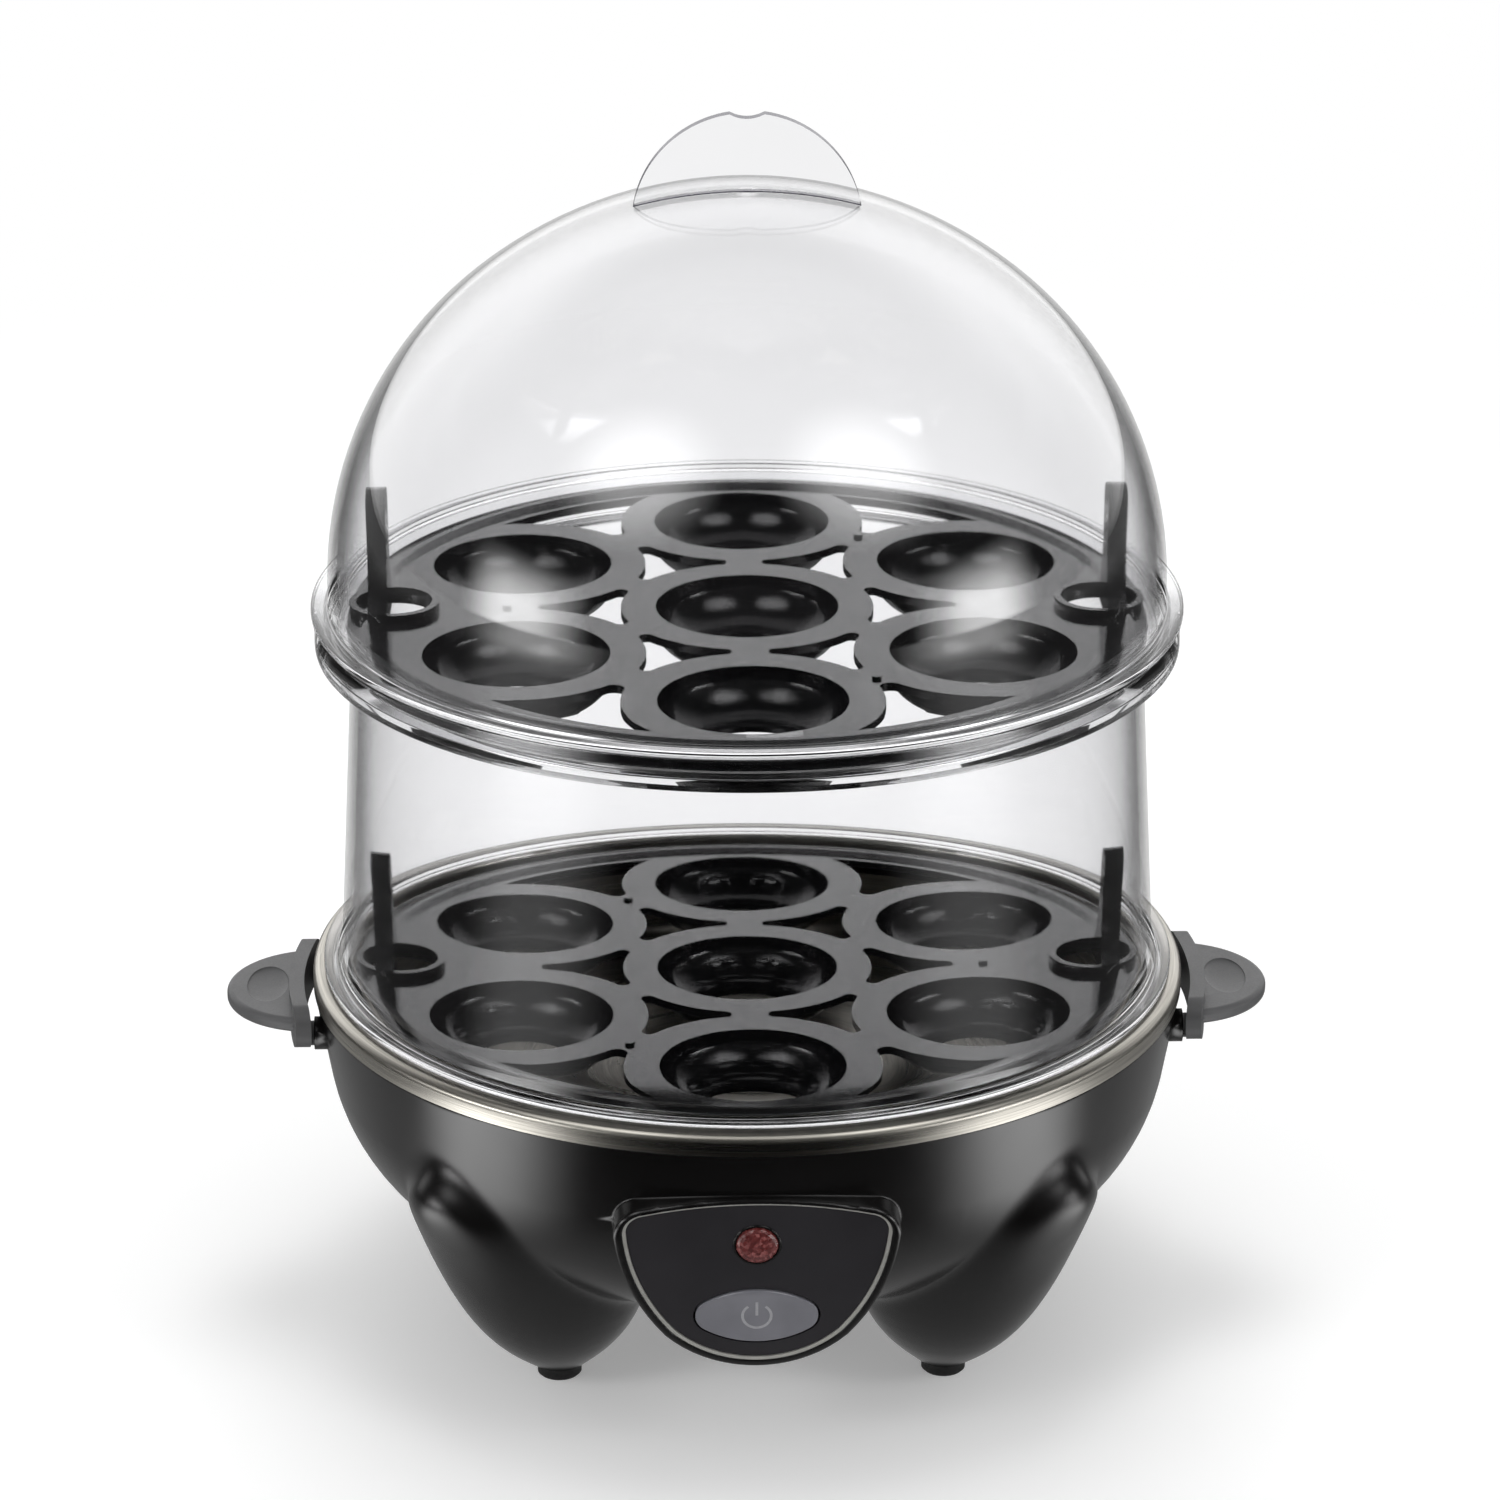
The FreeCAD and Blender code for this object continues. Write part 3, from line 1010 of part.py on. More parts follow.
def side_handle(label, turn):
    """A strap that stands off the rim on two feet and carries a dimpled thumb paddle, with its screws."""
    body = new_body(label)
    end, bend = "grip_strap_half_length", "grip_strap_round"
    side_view = outline(
        new_sketch(body, "YZ_Plane", (0, 0, "paddle_centre - paddle_thickness")),
        (f"{end} - {bend}", "grip_strap_bottom"),
        (end, f"grip_strap_bottom + {bend}", bend),
        (end, f"grip_strap_top - {bend}"),
        (f"{end} - {bend}", "grip_strap_top", bend),
        (f"-{end} + {bend}", "grip_strap_top"),
        (f"-{end}", f"grip_strap_top - {bend}", bend),
        (f"-{end}", f"grip_strap_bottom + {bend}"),
        (f"-{end} + {bend}", "grip_strap_bottom", bend),
    )
    pad(body, side_view, "paddle_radius")
    outside = circle(new_sketch(body, "XY_Plane", (0, 0, "grip_strap_top")), "0", "0", "strap_outer")
    circle(outside, "0", "0", "strap_outer + paddle_radius")
    pocket(body, outside, "grip_strap_height")
    revolve(body, outline(
        new_sketch(body, "XZ_Plane", ("paddle_centre", "paddle_bottom", 0)),
        ("0", "0"),
        ("paddle_radius - paddle_round", "0"),
        ("paddle_radius", "paddle_round", "paddle_round"),
        ("paddle_radius", "paddle_thickness - paddle_round"),
        ("paddle_radius - paddle_round", "paddle_thickness", "paddle_round"),
        ("0", "paddle_thickness"),
    ))
    inside = circle(new_sketch(body, "XY_Plane", (0, 0, "grip_strap_top")), "0", "0", "strap_inner")
    pocket(body, inside, "grip_strap_height")
    feet = new_sketch(body, "YZ_Plane", (0, 0, "handle_seat"))
    pair_of_circles(feet, "handle_foot_spacing", "handle_height", "handle_foot_radius")
    pad(body, feet, "strap_inner - handle_seat")
    dimple = body.newObject("PartDesign::SubtractiveEllipsoid", "Dimple")
    dimple.AttachmentSupport = [(origin_feature(body, "XY_Plane"), "")]
    dimple.MapMode = "FlatFace"
    dimple.setExpression("AttachmentOffset.Base.x", formula("dimple_reach"))
    dimple.setExpression("AttachmentOffset.Base.z", formula("paddle_bottom + paddle_thickness"))
    for name, size in (("Radius1", "depth"), ("Radius2", "half_width"), ("Radius3", "half_length")):
        dimple.setExpression(name, formula(f"dimple_{size}"))
    drill = new_sketch(body, "YZ_Plane", (0, 0, "handle_seat"))
    pair_of_circles(drill, "handle_foot_spacing", "handle_height", "screw_radius + fit_gap")
    pocket(body, drill, "handle_screw_bite + blind_gap", Reversed=True)
    place(body, angle=turn)
    for end_name, sign in (("front", "-"), ("rear", "")):
        made = screw(f"{label}_screw_{end_name}", "screw", "handle_lug_depth + handle_screw_bite")
        place(made, f"(handle_seat - handle_lug_depth) * cos({turn})", f"{sign}handle_foot_spacing",
              "handle_height", axis=(0, 1, 0), angle=f"90 - {turn}")


def cord_gland():
    """Strain relief through the rear boss for a power cord, and the nut that holds it inside."""
    body = new_body("cord_gland")
    inner_end = "-gland_boss_length - gland_nut_length"
    revolve(body, outline(
        new_sketch(body, "XZ_Plane"),
        ("gland_bore", inner_end),
        ("gland_radius", inner_end),
        ("gland_radius", "0"),
        ("gland_flange_radius", "0"),
        ("gland_flange_radius", "gland_flange_thickness"),
        ("gland_bore", "gland_flange_thickness"),
    ))
    place(body, back="gland_face", up="gland_height", axis=(1, 0, 0), angle="-90")

    nut = new_body("gland_nut")
    sides = outline(new_sketch(nut, "XY_Plane", (0, 0, inner_end)),
                    *(polar(("gland_nut_radius", angle)) for angle in range(0, 360, 60)))
    pad(nut, circle(sides, "0", "0", "gland_radius + fit_gap"), "gland_nut_length")
    place(nut, back="gland_face", up="gland_height", axis=(1, 0, 0), angle="-90")


def terminal_block():
    """Three-pole block on the land behind the opening, where the cord's wires would end."""
    body = new_body("terminal_block")
    base = rectangle(new_sketch(body, "XY_Plane"), "-terminal_ear_reach", "terminal_ear_reach", "0", "terminal_depth")
    pad(body, base, "terminal_ear_height")
    block = rectangle(new_sketch(body, "XY_Plane"), "-terminal_half_width", "terminal_half_width", "0",
                      "terminal_depth")
    pad(body, block, "terminal_height")
    wires = new_sketch(body, "XZ_Plane")
    wells = new_sketch(body, "XY_Plane", (0, 0, "terminal_height"))
    for pole in (-1, 0, 1):
        circle(wires, f"{pole} * terminal_pole_spacing", "terminal_height / 2", "terminal_hole_radius")
        circle(wells, f"{pole} * terminal_pole_spacing", "terminal_depth / 2", "terminal_well_radius")
    pocket(body, wires, "terminal_depth")
    pocket(body, wells, "terminal_height / 2")
    drill = new_sketch(body, "XY_Plane", (0, 0, "terminal_ear_height"))
    pair_of_circles(drill, "terminal_screw_reach", "terminal_depth / 2", "small_screw_radius + fit_gap")
    pocket(body, drill, "terminal_ear_height")
    place(body, back="terminal_back", up="land_top")
    for side, sign in (("right", ""), ("left", "-")):
        made = screw(f"terminal_screw_{side}", "small_screw", "terminal_ear_height + small_screw_bite")
        place(made, f"{sign}terminal_screw_reach", "terminal_back + terminal_depth / 2",
              "land_top + terminal_ear_height", axis=(1, 0, 0), angle="180")


def tray_plate(body):
    """The tray's flat plate with its raised bead and the skirt round its edge."""
    revolve(body, outline(
        new_sketch(body, "XZ_Plane"),
        ("0", "-tray_plate"),
        ("tray_radius - skirt_wall", "-tray_plate"),
        ("tray_radius - skirt_wall", "-skirt_height"),
        ("tray_radius", "-skirt_height"),
        ("tray_radius", "0"),
        ("bead_radius + bead_width / 2", "0"),
        ("bead_radius + bead_width / 2 - bead_height", "bead_height"),
        ("bead_radius - bead_width / 2 + bead_height", "bead_height"),
        ("bead_radius - bead_width / 2", "0"),
        ("0", "0"),
    ))


def tray_cup(body, reach):
    """One egg cup: its outside is added under the plate and its inside cut through it."""
    outside = revolve(body, outline(
        new_sketch(body, "YZ_Plane", (reach, 0, 0)),
        ("0", "-cup_floor"),
        ("cup_hole", "-cup_floor"),
        ("cup_radius + cup_wall", "-cup_straight", "cup_curve + cup_wall"),
        ("cup_radius + cup_wall", "0"),
        ("0", "0"),
    ))
    inside = revolve(body, outline(
        new_sketch(body, "YZ_Plane", (reach, 0, 0)),
        ("0", "-2 * cup_floor"),
        ("cup_hole", "-2 * cup_floor"),
        ("cup_hole", "-cup_depth"),
        ("cup_radius", "-cup_straight", "cup_curve"),
        ("cup_radius", "cup_wall"),
        ("0", "cup_wall"),
    ), "Groove")
    return [outside, inside]


def tray_windows(body):
    """Steam windows: six three-sided ones between the middle cup and its neighbours, and four outer ones."""
    inner = new_sketch(body, "XY_Plane", ("window_middle", 0, 0))
    corners = []
    for cup in (180, 300, 60):
        for sign, radius in (("+", "window_end"), ("-", "-window_reach")):
            facing = f"{cup + 180} {sign} (30 - window_relief)"
            corners.append((*polar(("window_middle", cup), ("window_reach", facing)), radius))
    window = pocket(body, outline(inner, *corners), "tray_plate")
    ring_of(body, [window], 6)

    outer = new_sketch(body, "XY_Plane")
    for middle in (60, 120, 240, 300):
        right, left = middle - 30, middle + 30
        outline(
            outer,
            (*polar(("cup_circle", right), ("window_reach", f"{middle + 90} - outer_window_relief")),
             "outer_window_end"),
            (*polar(("window_rim", f"{right} + window_turn")), "-window_reach"),
            (*polar(("window_rim", f"{left} - window_turn")), "window_rim"),
            (*polar(("cup_circle", left), ("window_reach", f"{middle - 90} + outer_window_relief")),
             "-window_reach"),
        )
    pocket(body, outer, "tray_plate")


def tray_fins(body):
    """Two lifting fins, each on a collar round a hole near the rim."""
    rise = "fin_height - fin_top_radius + sqrt(fin_top_radius ^ 2 - fin_tip_half_width ^ 2)"
    collar = circle(new_sketch(body, "XY_Plane", (0, 0, "-tray_plate")), "collar_reach", "0", "collar_radius")
    ring = pad(body, collar, "tray_plate + collar_height")
    hole = circle(new_sketch(body, "XY_Plane", (0, 0, "collar_height")), "collar_reach", "0",
                  "collar_radius - collar_wall")
    cut = pocket(body, hole, "tray_plate + collar_height")
    side_view = outline(
        new_sketch(body, "YZ_Plane", (0, 0, "fin_reach - fin_thickness / 2")),
        ("-fin_foot_half_width", "-tray_plate"),
        ("fin_foot_half_width", "-tray_plate"),
        ("fin_foot_half_width", "collar_height"),
        ("fin_tip_half_width", "fin_flare_top", "-fin_flare"),
        ("fin_tip_half_width", rise),
        ("-fin_tip_half_width", rise, "fin_top_radius"),
        ("-fin_tip_half_width", "fin_flare_top"),
        ("-fin_foot_half_width", "collar_height", "-fin_flare"),
    )
    fin = pad(body, side_view, "fin_thickness")
    ring_of(body, [ring, cut, fin], 2)


def egg_tray(label, face, turn):
    """Black tray with seven open cups, steam windows, two lifting fins and three location pips."""
    body = new_body(label)
    tray_plate(body)
    tray_cup(body, "0")
    ring_of(body, tray_cup(body, "cup_circle"), 6)
    tray_windows(body)
    tray_fins(body)
    spots = new_sketch(body, "XY_Plane")
    for angle in (60, 180, 300):
        circle(spots, *polar(("pip_reach", angle)), "pip_radius")
    pad(body, spots, "pip_height")
    place(body, up=face, angle=turn)


def steam_tier():
    """Clear ring between the trays: a spigot in the pan's rim, a flange on it, and a socket with a ledge."""
    body = new_body("steam_tier")
    revolve(body, outline(
        new_sketch(body, "XZ_Plane"),
        ("spigot_radius - clear_wall", "tier_seat - spigot_depth"),
        ("spigot_radius", "tier_seat - spigot_depth"),
        ("spigot_radius", "tier_seat"),
        ("tier_flange_radius", "tier_seat"),
        ("tier_flange_radius", "tier_seat + flange_thickness"),
        ("spigot_radius", "tier_seat + flange_thickness"),
        ("tier_foot_radius", "tier_seat + tier_foot_rise"),
        ("tier_head_radius", "tier_ledge - tier_ledge_thickness - tier_flare"),
        ("tier_head_radius + tier_flare", "tier_ledge - tier_ledge_thickness"),
        ("tier_flange_radius", "tier_ledge - tier_ledge_thickness"),
        ("tier_flange_radius", "tier_top"),
        ("rim_opening", "tier_top"),
        ("rim_opening", "tier_ledge"),
        ("tier_ledge_reach", "tier_ledge"),
        ("tier_ledge_reach", "tier_ledge - tier_ledge_thickness"),
        ("tier_head_radius - clear_wall", "tier_ledge - tier_ledge_thickness - tier_flare"),
        ("tier_foot_radius - clear_wall", "tier_seat + tier_foot_rise"),
        ("spigot_radius - clear_wall", "tier_seat + flange_thickness"),
    ))


def dome_lid():
    """Clear dome whose shoulder runs into a flatter crown, with a thin fin on top to lift it by."""
    body = new_body("dome_lid")
    inner_shoulder = "dome_shoulder - clear_wall"
    revolve(body, outline(
        new_sketch(body, "XZ_Plane"),
        ("spigot_radius - clear_wall", "lid_seat - spigot_depth"),
        ("spigot_radius", "lid_seat - spigot_depth"),
        ("spigot_radius", "lid_seat"),
        ("lid_flange_radius", "lid_seat"),
        ("lid_flange_radius", "lid_seat + flange_thickness"),
        ("spigot_radius", "lid_seat + flange_thickness"),
        ("spigot_radius", "dome_foot"),
        ("dome_offset + dome_shoulder * cos(dome_turn)", "dome_foot + dome_shoulder * sin(dome_turn)",
         "dome_shoulder"),
        ("0", "crown_centre + crown_radius", "crown_radius"),
        ("0", "crown_centre + crown_radius - clear_wall"),
        (f"dome_offset + ({inner_shoulder}) * cos(dome_turn)", f"dome_foot + ({inner_shoulder}) * sin(dome_turn)",
         "clear_wall - crown_radius"),
        ("spigot_radius - clear_wall", "dome_foot", f"-({inner_shoulder})"),
    ))
    fin = outline(
        new_sketch(body, "XZ_Plane"),
        ("-lid_fin_half_width", "lid_fin_foot", "lid_fin_radius"),
        ("lid_fin_half_width", "lid_fin_foot", "-lid_fin_curve"),
        ("lid_fin_notch", "lid_fin_brow", "lid_fin_radius"),
        ("-lid_fin_notch", "lid_fin_brow", "-lid_fin_notch_curve"),
    )
    pad(body, fin, "lid_fin_thickness", SideType="Symmetric")


def finish():
    """Check every object, then write one STEP file for each sub-part."""
    doc.recompute()
    failed = [item.Label for item in doc.Objects if "Invalid" in item.State or "Error" in item.State]
    assert not failed, f"failed objects: {failed}"
    os.makedirs("parts", exist_ok=True)
    for part in sub_parts:
        assert not part.Shape.isNull() and part.Shape.isValid(), f"{part.Label} is not a valid shape"
        part.Shape.exportStep(f"parts/{part.Label}.step")


fill_sheet()
base_housing()
rubber_feet()
bottom_cover()
heating_pan()
pan_standoffs()
heat_spreader()
heating_element()
thermostat()
thermal_fuse()
control_panel()
indicator_lens()
indicator_lamp()
power_button()
button_spring()
switch()
side_handle("right_handle", "0")
side_handle("left_handle", "180")
cord_gland()
terminal_block()
egg_tray("lower_egg_tray", "lower_tray_face", "180")
steam_tier()
egg_tray("upper_egg_tray", "upper_tray_face", "0")
dome_lid()
finish()
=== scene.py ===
import math

import bmesh
import bpy
from mathutils import Matrix, Vector


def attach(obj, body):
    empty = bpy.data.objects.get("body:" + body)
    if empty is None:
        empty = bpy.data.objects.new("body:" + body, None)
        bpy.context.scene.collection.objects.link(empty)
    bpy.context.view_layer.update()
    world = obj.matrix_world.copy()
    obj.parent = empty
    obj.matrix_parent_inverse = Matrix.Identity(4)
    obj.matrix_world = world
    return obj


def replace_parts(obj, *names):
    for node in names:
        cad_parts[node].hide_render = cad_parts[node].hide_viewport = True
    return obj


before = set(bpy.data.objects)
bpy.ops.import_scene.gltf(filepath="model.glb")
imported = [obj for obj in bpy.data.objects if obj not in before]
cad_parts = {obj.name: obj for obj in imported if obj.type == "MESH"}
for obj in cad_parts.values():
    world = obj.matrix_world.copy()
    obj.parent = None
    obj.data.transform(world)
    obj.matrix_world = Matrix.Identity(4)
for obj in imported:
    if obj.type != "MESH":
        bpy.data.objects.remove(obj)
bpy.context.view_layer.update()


# ---------------------------------------------------------------------------------------------------
# The table and the studio. The cooker stands on a pale matte sweep before a white wall, lit by four
# soft boxes. Its gloss mirrors a room that is dark in front, with two cards low and two high in it.
# ---------------------------------------------------------------------------------------------------

def linear(colour):
    """sRGB hex, as #rrggbb, to a linear colour with alpha."""
    parts = [int(colour[i:i + 2], 16) / 255 for i in (1, 3, 5)]
    return [c / 12.92 if c <= 0.04045 else ((c + 0.055) / 1.055) ** 2.4 for c in parts] + [1.0]


def add(tree, kind, inputs=None, **settings):
    """One shader node. An input that is given a socket is linked, and any other gets its value."""
    made = tree.nodes.new(kind)
    for name, value in settings.items():
        setattr(made, name, value)
    for key, value in (inputs or {}).items():
        if isinstance(value, bpy.types.NodeSocket):
            tree.links.new(value, made.inputs[key])
        else:
            made.inputs[key].default_value = value
    return made


# The right high card lies in this direction, and the left one is its mirror image. A ray has met gloss
# before when its glossy depth is over a half.
HIGH_CARD = (0.47, -0.50, 0.73)
MIRRORED = 0.5
WHITE = 1.0
ROOM_FILL = 0.45
room = bpy.data.worlds.new("white_room")
bpy.context.scene.world = room
room.use_nodes = True
room_tree = room.node_tree
room_tree.nodes.clear()
room_way = add(room_tree, "ShaderNodeTexCoord")
room_axes = add(room_tree, "ShaderNodeSeparateXYZ", {0: room_way.outputs["Generated"]})
room_flat = add(room_tree, "ShaderNodeCombineXYZ", {0: room_axes.outputs["X"], 1: room_axes.outputs["Y"]})
room_turn = add(room_tree, "ShaderNodeVectorMath", {0: room_flat.outputs[0]}, operation="NORMALIZE")
room_from = add(room_tree, "ShaderNodeSeparateXYZ", {0: room_turn.outputs[0]})
room_across = add(room_tree, "ShaderNodeMath", {0: room_axes.outputs["X"]}, operation="ABSOLUTE")
room_twice = add(room_tree, "ShaderNodeCombineXYZ", {
    0: room_across.outputs[0], 1: room_axes.outputs["Y"], 2: room_axes.outputs["Z"],
})
room_over = add(room_tree, "ShaderNodeVectorMath", {
    0: room_twice.outputs[0], 1: HIGH_CARD,
}, operation="DISTANCE")

# Each soft edge of the room: what it reads, where it starts and ends, and its brightness at both.
room_edges = {}
for edge, value, start, end, first, last in (
    ("rear_wall", room_from.outputs["Y"], 0.20, 0.86, 0.04, 1.5),
    ("ceiling", room_axes.outputs["Z"], 0.50, 0.80, 1.0, 0.30),
    ("low_card_front", room_from.outputs["Y"], -0.74, -0.46, 0.0, 7.0),
    ("low_card_rear", room_from.outputs["Y"], -0.36, -0.08, 1.0, 0.0),
    ("low_card_top", room_axes.outputs["Z"], 0.06, 0.30, 1.0, 0.0),
    ("high_card", room_over.outputs["Value"], 0.08, 0.42, 3.2, 0.0),
):
    room_edges[edge] = add(room_tree, "ShaderNodeMapRange", {
        "Value": value, "From Min": start, "From Max": end, "To Min": first, "To Max": last,
    }, interpolation_type="SMOOTHSTEP").outputs["Result"]

room_cards = add(room_tree, "ShaderNodeMath", {
    0: room_edges["low_card_front"], 1: room_edges["low_card_rear"],
}, operation="MULTIPLY")
room_stand = add(room_tree, "ShaderNodeMath", {
    0: room_cards.outputs[0], 1: room_edges["low_card_top"],
}, operation="MULTIPLY")
room_both = add(room_tree, "ShaderNodeMath", {
    0: room_stand.outputs[0], 1: room_edges["high_card"],
}, operation="ADD")
room_walls = add(room_tree, "ShaderNodeMath", {
    0: room_edges["rear_wall"], 1: room_edges["ceiling"], 2: room_both.outputs[0],
}, operation="MULTIPLY_ADD")
room_ray = add(room_tree, "ShaderNodeLightPath")
room_mirror = add(room_tree, "ShaderNodeMath", {
    0: room_ray.outputs["Glossy Depth"], 1: MIRRORED,
}, operation="GREATER_THAN")
room_gloss = add(room_tree, "ShaderNodeMix", {
    0: room_mirror.outputs[0], 2: room_edges["ceiling"], 3: room_walls.outputs[0],
}, data_type="FLOAT")
room_seen = add(room_tree, "ShaderNodeMix", {
    0: room_ray.outputs["Is Camera Ray"], 2: room_gloss.outputs[0], 3: WHITE,
}, data_type="FLOAT")
room_fill = add(room_tree, "ShaderNodeMix", {
    0: room_ray.outputs["Is Diffuse Ray"], 2: room_seen.outputs[0], 3: ROOM_FILL,
}, data_type="FLOAT")
room_light = add(room_tree, "ShaderNodeBackground", {
    "Color": linear("#ffffff"), "Strength": room_fill.outputs[0],
})
add(room_tree, "ShaderNodeOutputWorld", {"Surface": room_light.outputs[0]})

TABLE_SIZE = 8.0
TABLE_LIFT = 0.26
GLOW_AT_FEET = 0.34
table_mesh = bmesh.new()
bmesh.ops.create_grid(table_mesh, x_segments=1, y_segments=1, size=TABLE_SIZE / 2)
table_data = bpy.data.meshes.new("table_sweep")
table_mesh.to_mesh(table_data)
table_mesh.free()
table = bpy.data.objects.new("table_sweep", table_data)
bpy.context.scene.collection.objects.link(table)

# Matte white paint: it keeps a soft shadow and turns plain white away from the cooker. Gloss sees painted
# light on it instead: bright fans at the left and the right of the front, as a lit table shows in black
# plastic.
table_paint = bpy.data.materials.new("matte_white_paint")
table_paint.use_nodes = True
table_tree = table_paint.node_tree
table_tree.nodes.clear()
table_where = add(table_tree, "ShaderNodeTexCoord")
table_axes = add(table_tree, "ShaderNodeSeparateXYZ", {0: table_where.outputs["Object"]})
table_reach = add(table_tree, "ShaderNodeVectorMath", {0: table_where.outputs["Object"]}, operation="LENGTH")
table_from = add(table_tree, "ShaderNodeMath", {
    0: table_axes.outputs["Y"], 1: table_reach.outputs["Value"],
}, operation="DIVIDE")

# Each soft edge on the table: what it reads, where it starts and ends, and its brightness at both.
table_edges = {}
for edge, value, start, end, first, last in (
    ("fan_front", table_from.outputs[0], -0.84, -0.56, 0.0, 3.9),
    ("fan_rear", table_from.outputs[0], -0.46, -0.16, 1.0, 0.08),
    ("fan_end", table_reach.outputs["Value"], 0.21, 0.36, 1.0, 0.16),
    ("beyond", table_reach.outputs["Value"], 0.80, 1.80, 0.0, 0.6),
    ("past_feet", table_reach.outputs["Value"], 0.09, 0.17, 0.0, 1.0),
    ("past_shadow", table_reach.outputs["Value"], 0.32, 0.80, 0.0, 1.0),
):
    table_edges[edge] = add(table_tree, "ShaderNodeMapRange", {
        "Value": value, "From Min": start, "From Max": end, "To Min": first, "To Max": last,
    }, interpolation_type="SMOOTHSTEP").outputs["Result"]

painted_light_fans = add(table_tree, "ShaderNodeMath", {
    0: table_edges["fan_front"], 1: table_edges["fan_rear"],
}, operation="MULTIPLY")
table_run = add(table_tree, "ShaderNodeMath", {
    0: table_edges["fan_end"], 1: table_edges["beyond"],
}, operation="ADD")
table_lit = add(table_tree, "ShaderNodeMath", {
    0: painted_light_fans.outputs[0], 1: table_run.outputs[0],
}, operation="MULTIPLY")
# Painted light for gloss: a faint glow round the feet, then the bright fans further out.
table_mirror = add(table_tree, "ShaderNodeMix", {
    0: table_edges["past_feet"], 2: GLOW_AT_FEET, 3: table_lit.outputs[0],
}, data_type="FLOAT")
table_ray = add(table_tree, "ShaderNodeLightPath")
table_seen = add(table_tree, "ShaderNodeMath", {
    0: table_ray.outputs["Is Camera Ray"], 1: table_ray.outputs["Is Transmission Ray"],
}, operation="MAXIMUM")
table_lift = add(table_tree, "ShaderNodeMath", {
    0: table_seen.outputs[0], 1: TABLE_LIFT,
}, operation="MULTIPLY")
table_matte = add(table_tree, "ShaderNodeBsdfDiffuse", {"Color": linear("#f2f2f2")})
table_glow = add(table_tree, "ShaderNodeEmission", {"Strength": table_lift.outputs[0]})
table_sum = add(table_tree, "ShaderNodeAddShader", {0: table_matte.outputs[0], 1: table_glow.outputs[0]})
table_fade = add(table_tree, "ShaderNodeMath", {
    0: table_seen.outputs[0], 1: table_edges["past_shadow"],
}, operation="MULTIPLY")
table_white = add(table_tree, "ShaderNodeEmission", {"Strength": WHITE})
table_plain = add(table_tree, "ShaderNodeMixShader", {
    0: table_fade.outputs[0], 1: table_sum.outputs[0], 2: table_white.outputs[0],
})
table_sheen = add(table_tree, "ShaderNodeEmission", {"Strength": table_mirror.outputs[0]})
table_depth = add(table_tree, "ShaderNodeMath", {
    0: table_ray.outputs["Glossy Depth"], 1: MIRRORED,
}, operation="GREATER_THAN")
table_gloss = add(table_tree, "ShaderNodeMath", {
    0: table_depth.outputs[0], 1: table_ray.outputs["Is Diffuse Ray"],
}, operation="SUBTRACT", use_clamp=True)
table_both = add(table_tree, "ShaderNodeMixShader", {
    0: table_gloss.outputs[0], 1: table_plain.outputs[0], 2: table_sheen.outputs[0],
})
add(table_tree, "ShaderNodeOutputMaterial", {"Surface": table_both.outputs[0]})
table_data.materials.append(table_paint)

# The soft boxes: name, place, width and height in metres, and watts. Each is brightest in its middle.
COOKER_MIDDLE = Vector((0.0, 0.0, 0.11))
for name, place, size, watts in (
    ("left_soft_box", (-0.85, -0.80, 0.80), (0.60, 0.60), 4.2),
    ("right_soft_box", (0.95, -0.70, 0.80), (0.60, 0.60), 3.4),
    ("top_soft_box", (0.0, 0.15, 1.45), (1.1, 1.1), 9.0),
    ("rear_soft_box", (0.0, 1.60, 0.85), (1.9, 0.8), 9.0),
):
    lamp = bpy.data.lights.new(name, "AREA")
    lamp.shape = "RECTANGLE"
    lamp.size = size[0]
    lamp.size_y = size[1]
    lamp.energy = watts
    lamp.use_nodes = True
    lamp_tree = lamp.node_tree
    lamp_tree.nodes.clear()
    lamp_face = add(lamp_tree, "ShaderNodeNewGeometry")
    lamp_middle = add(lamp_tree, "ShaderNodeVectorMath", {
        0: lamp_face.outputs["Parametric"], 1: (0.5, 0.5, 0.0),
    }, operation="DISTANCE")
    lamp_fade = add(lamp_tree, "ShaderNodeMapRange", {
        "Value": lamp_middle.outputs["Value"], "From Min": 0.05, "From Max": 0.5,
        "To Min": 2.6, "To Max": 0.0,
    }, interpolation_type="SMOOTHSTEP")
    lamp_glow = add(lamp_tree, "ShaderNodeEmission", {"Strength": lamp_fade.outputs["Result"]})
    add(lamp_tree, "ShaderNodeOutputLight", {"Surface": lamp_glow.outputs[0]})
    lamp_object = bpy.data.objects.new(name, lamp)
    lamp_object.location = place
    lamp_object.rotation_mode = "QUATERNION"
    lamp_object.rotation_quaternion = (COOKER_MIDDLE - Vector(place)).to_track_quat("-Z", "Y")
    lamp_object.visible_camera = False
    lamp_object.visible_transmission = False
    lamp_object.visible_glossy = False
    bpy.context.scene.collection.objects.link(lamp_object)

CAMERA_AIM = Vector((0.0006, 0.0, 0.1249))
CAMERA_DISTANCE = 1.150
CAMERA_AZIMUTH = math.radians(-1.3)
CAMERA_RISE = math.radians(21.4)
camera_data = bpy.data.cameras.new("camera")
camera_data.sensor_width = 36.0
camera_data.lens = 131.2
camera_data.clip_start = 0.05
camera_data.clip_end = 30.0
camera = bpy.data.objects.new("camera", camera_data)
bpy.context.scene.collection.objects.link(camera)
camera_back = Vector((
    math.sin(CAMERA_AZIMUTH) * math.cos(CAMERA_RISE),
    -math.cos(CAMERA_AZIMUTH) * math.cos(CAMERA_RISE),
    math.sin(CAMERA_RISE),
))
camera.location = CAMERA_AIM + camera_back * CAMERA_DISTANCE
camera.rotation_mode = "QUATERNION"
camera.rotation_quaternion = (-camera_back).to_track_quat("-Z", "Y")
bpy.context.scene.camera = camera
bpy.context.scene.view_settings.view_transform = "Standard"


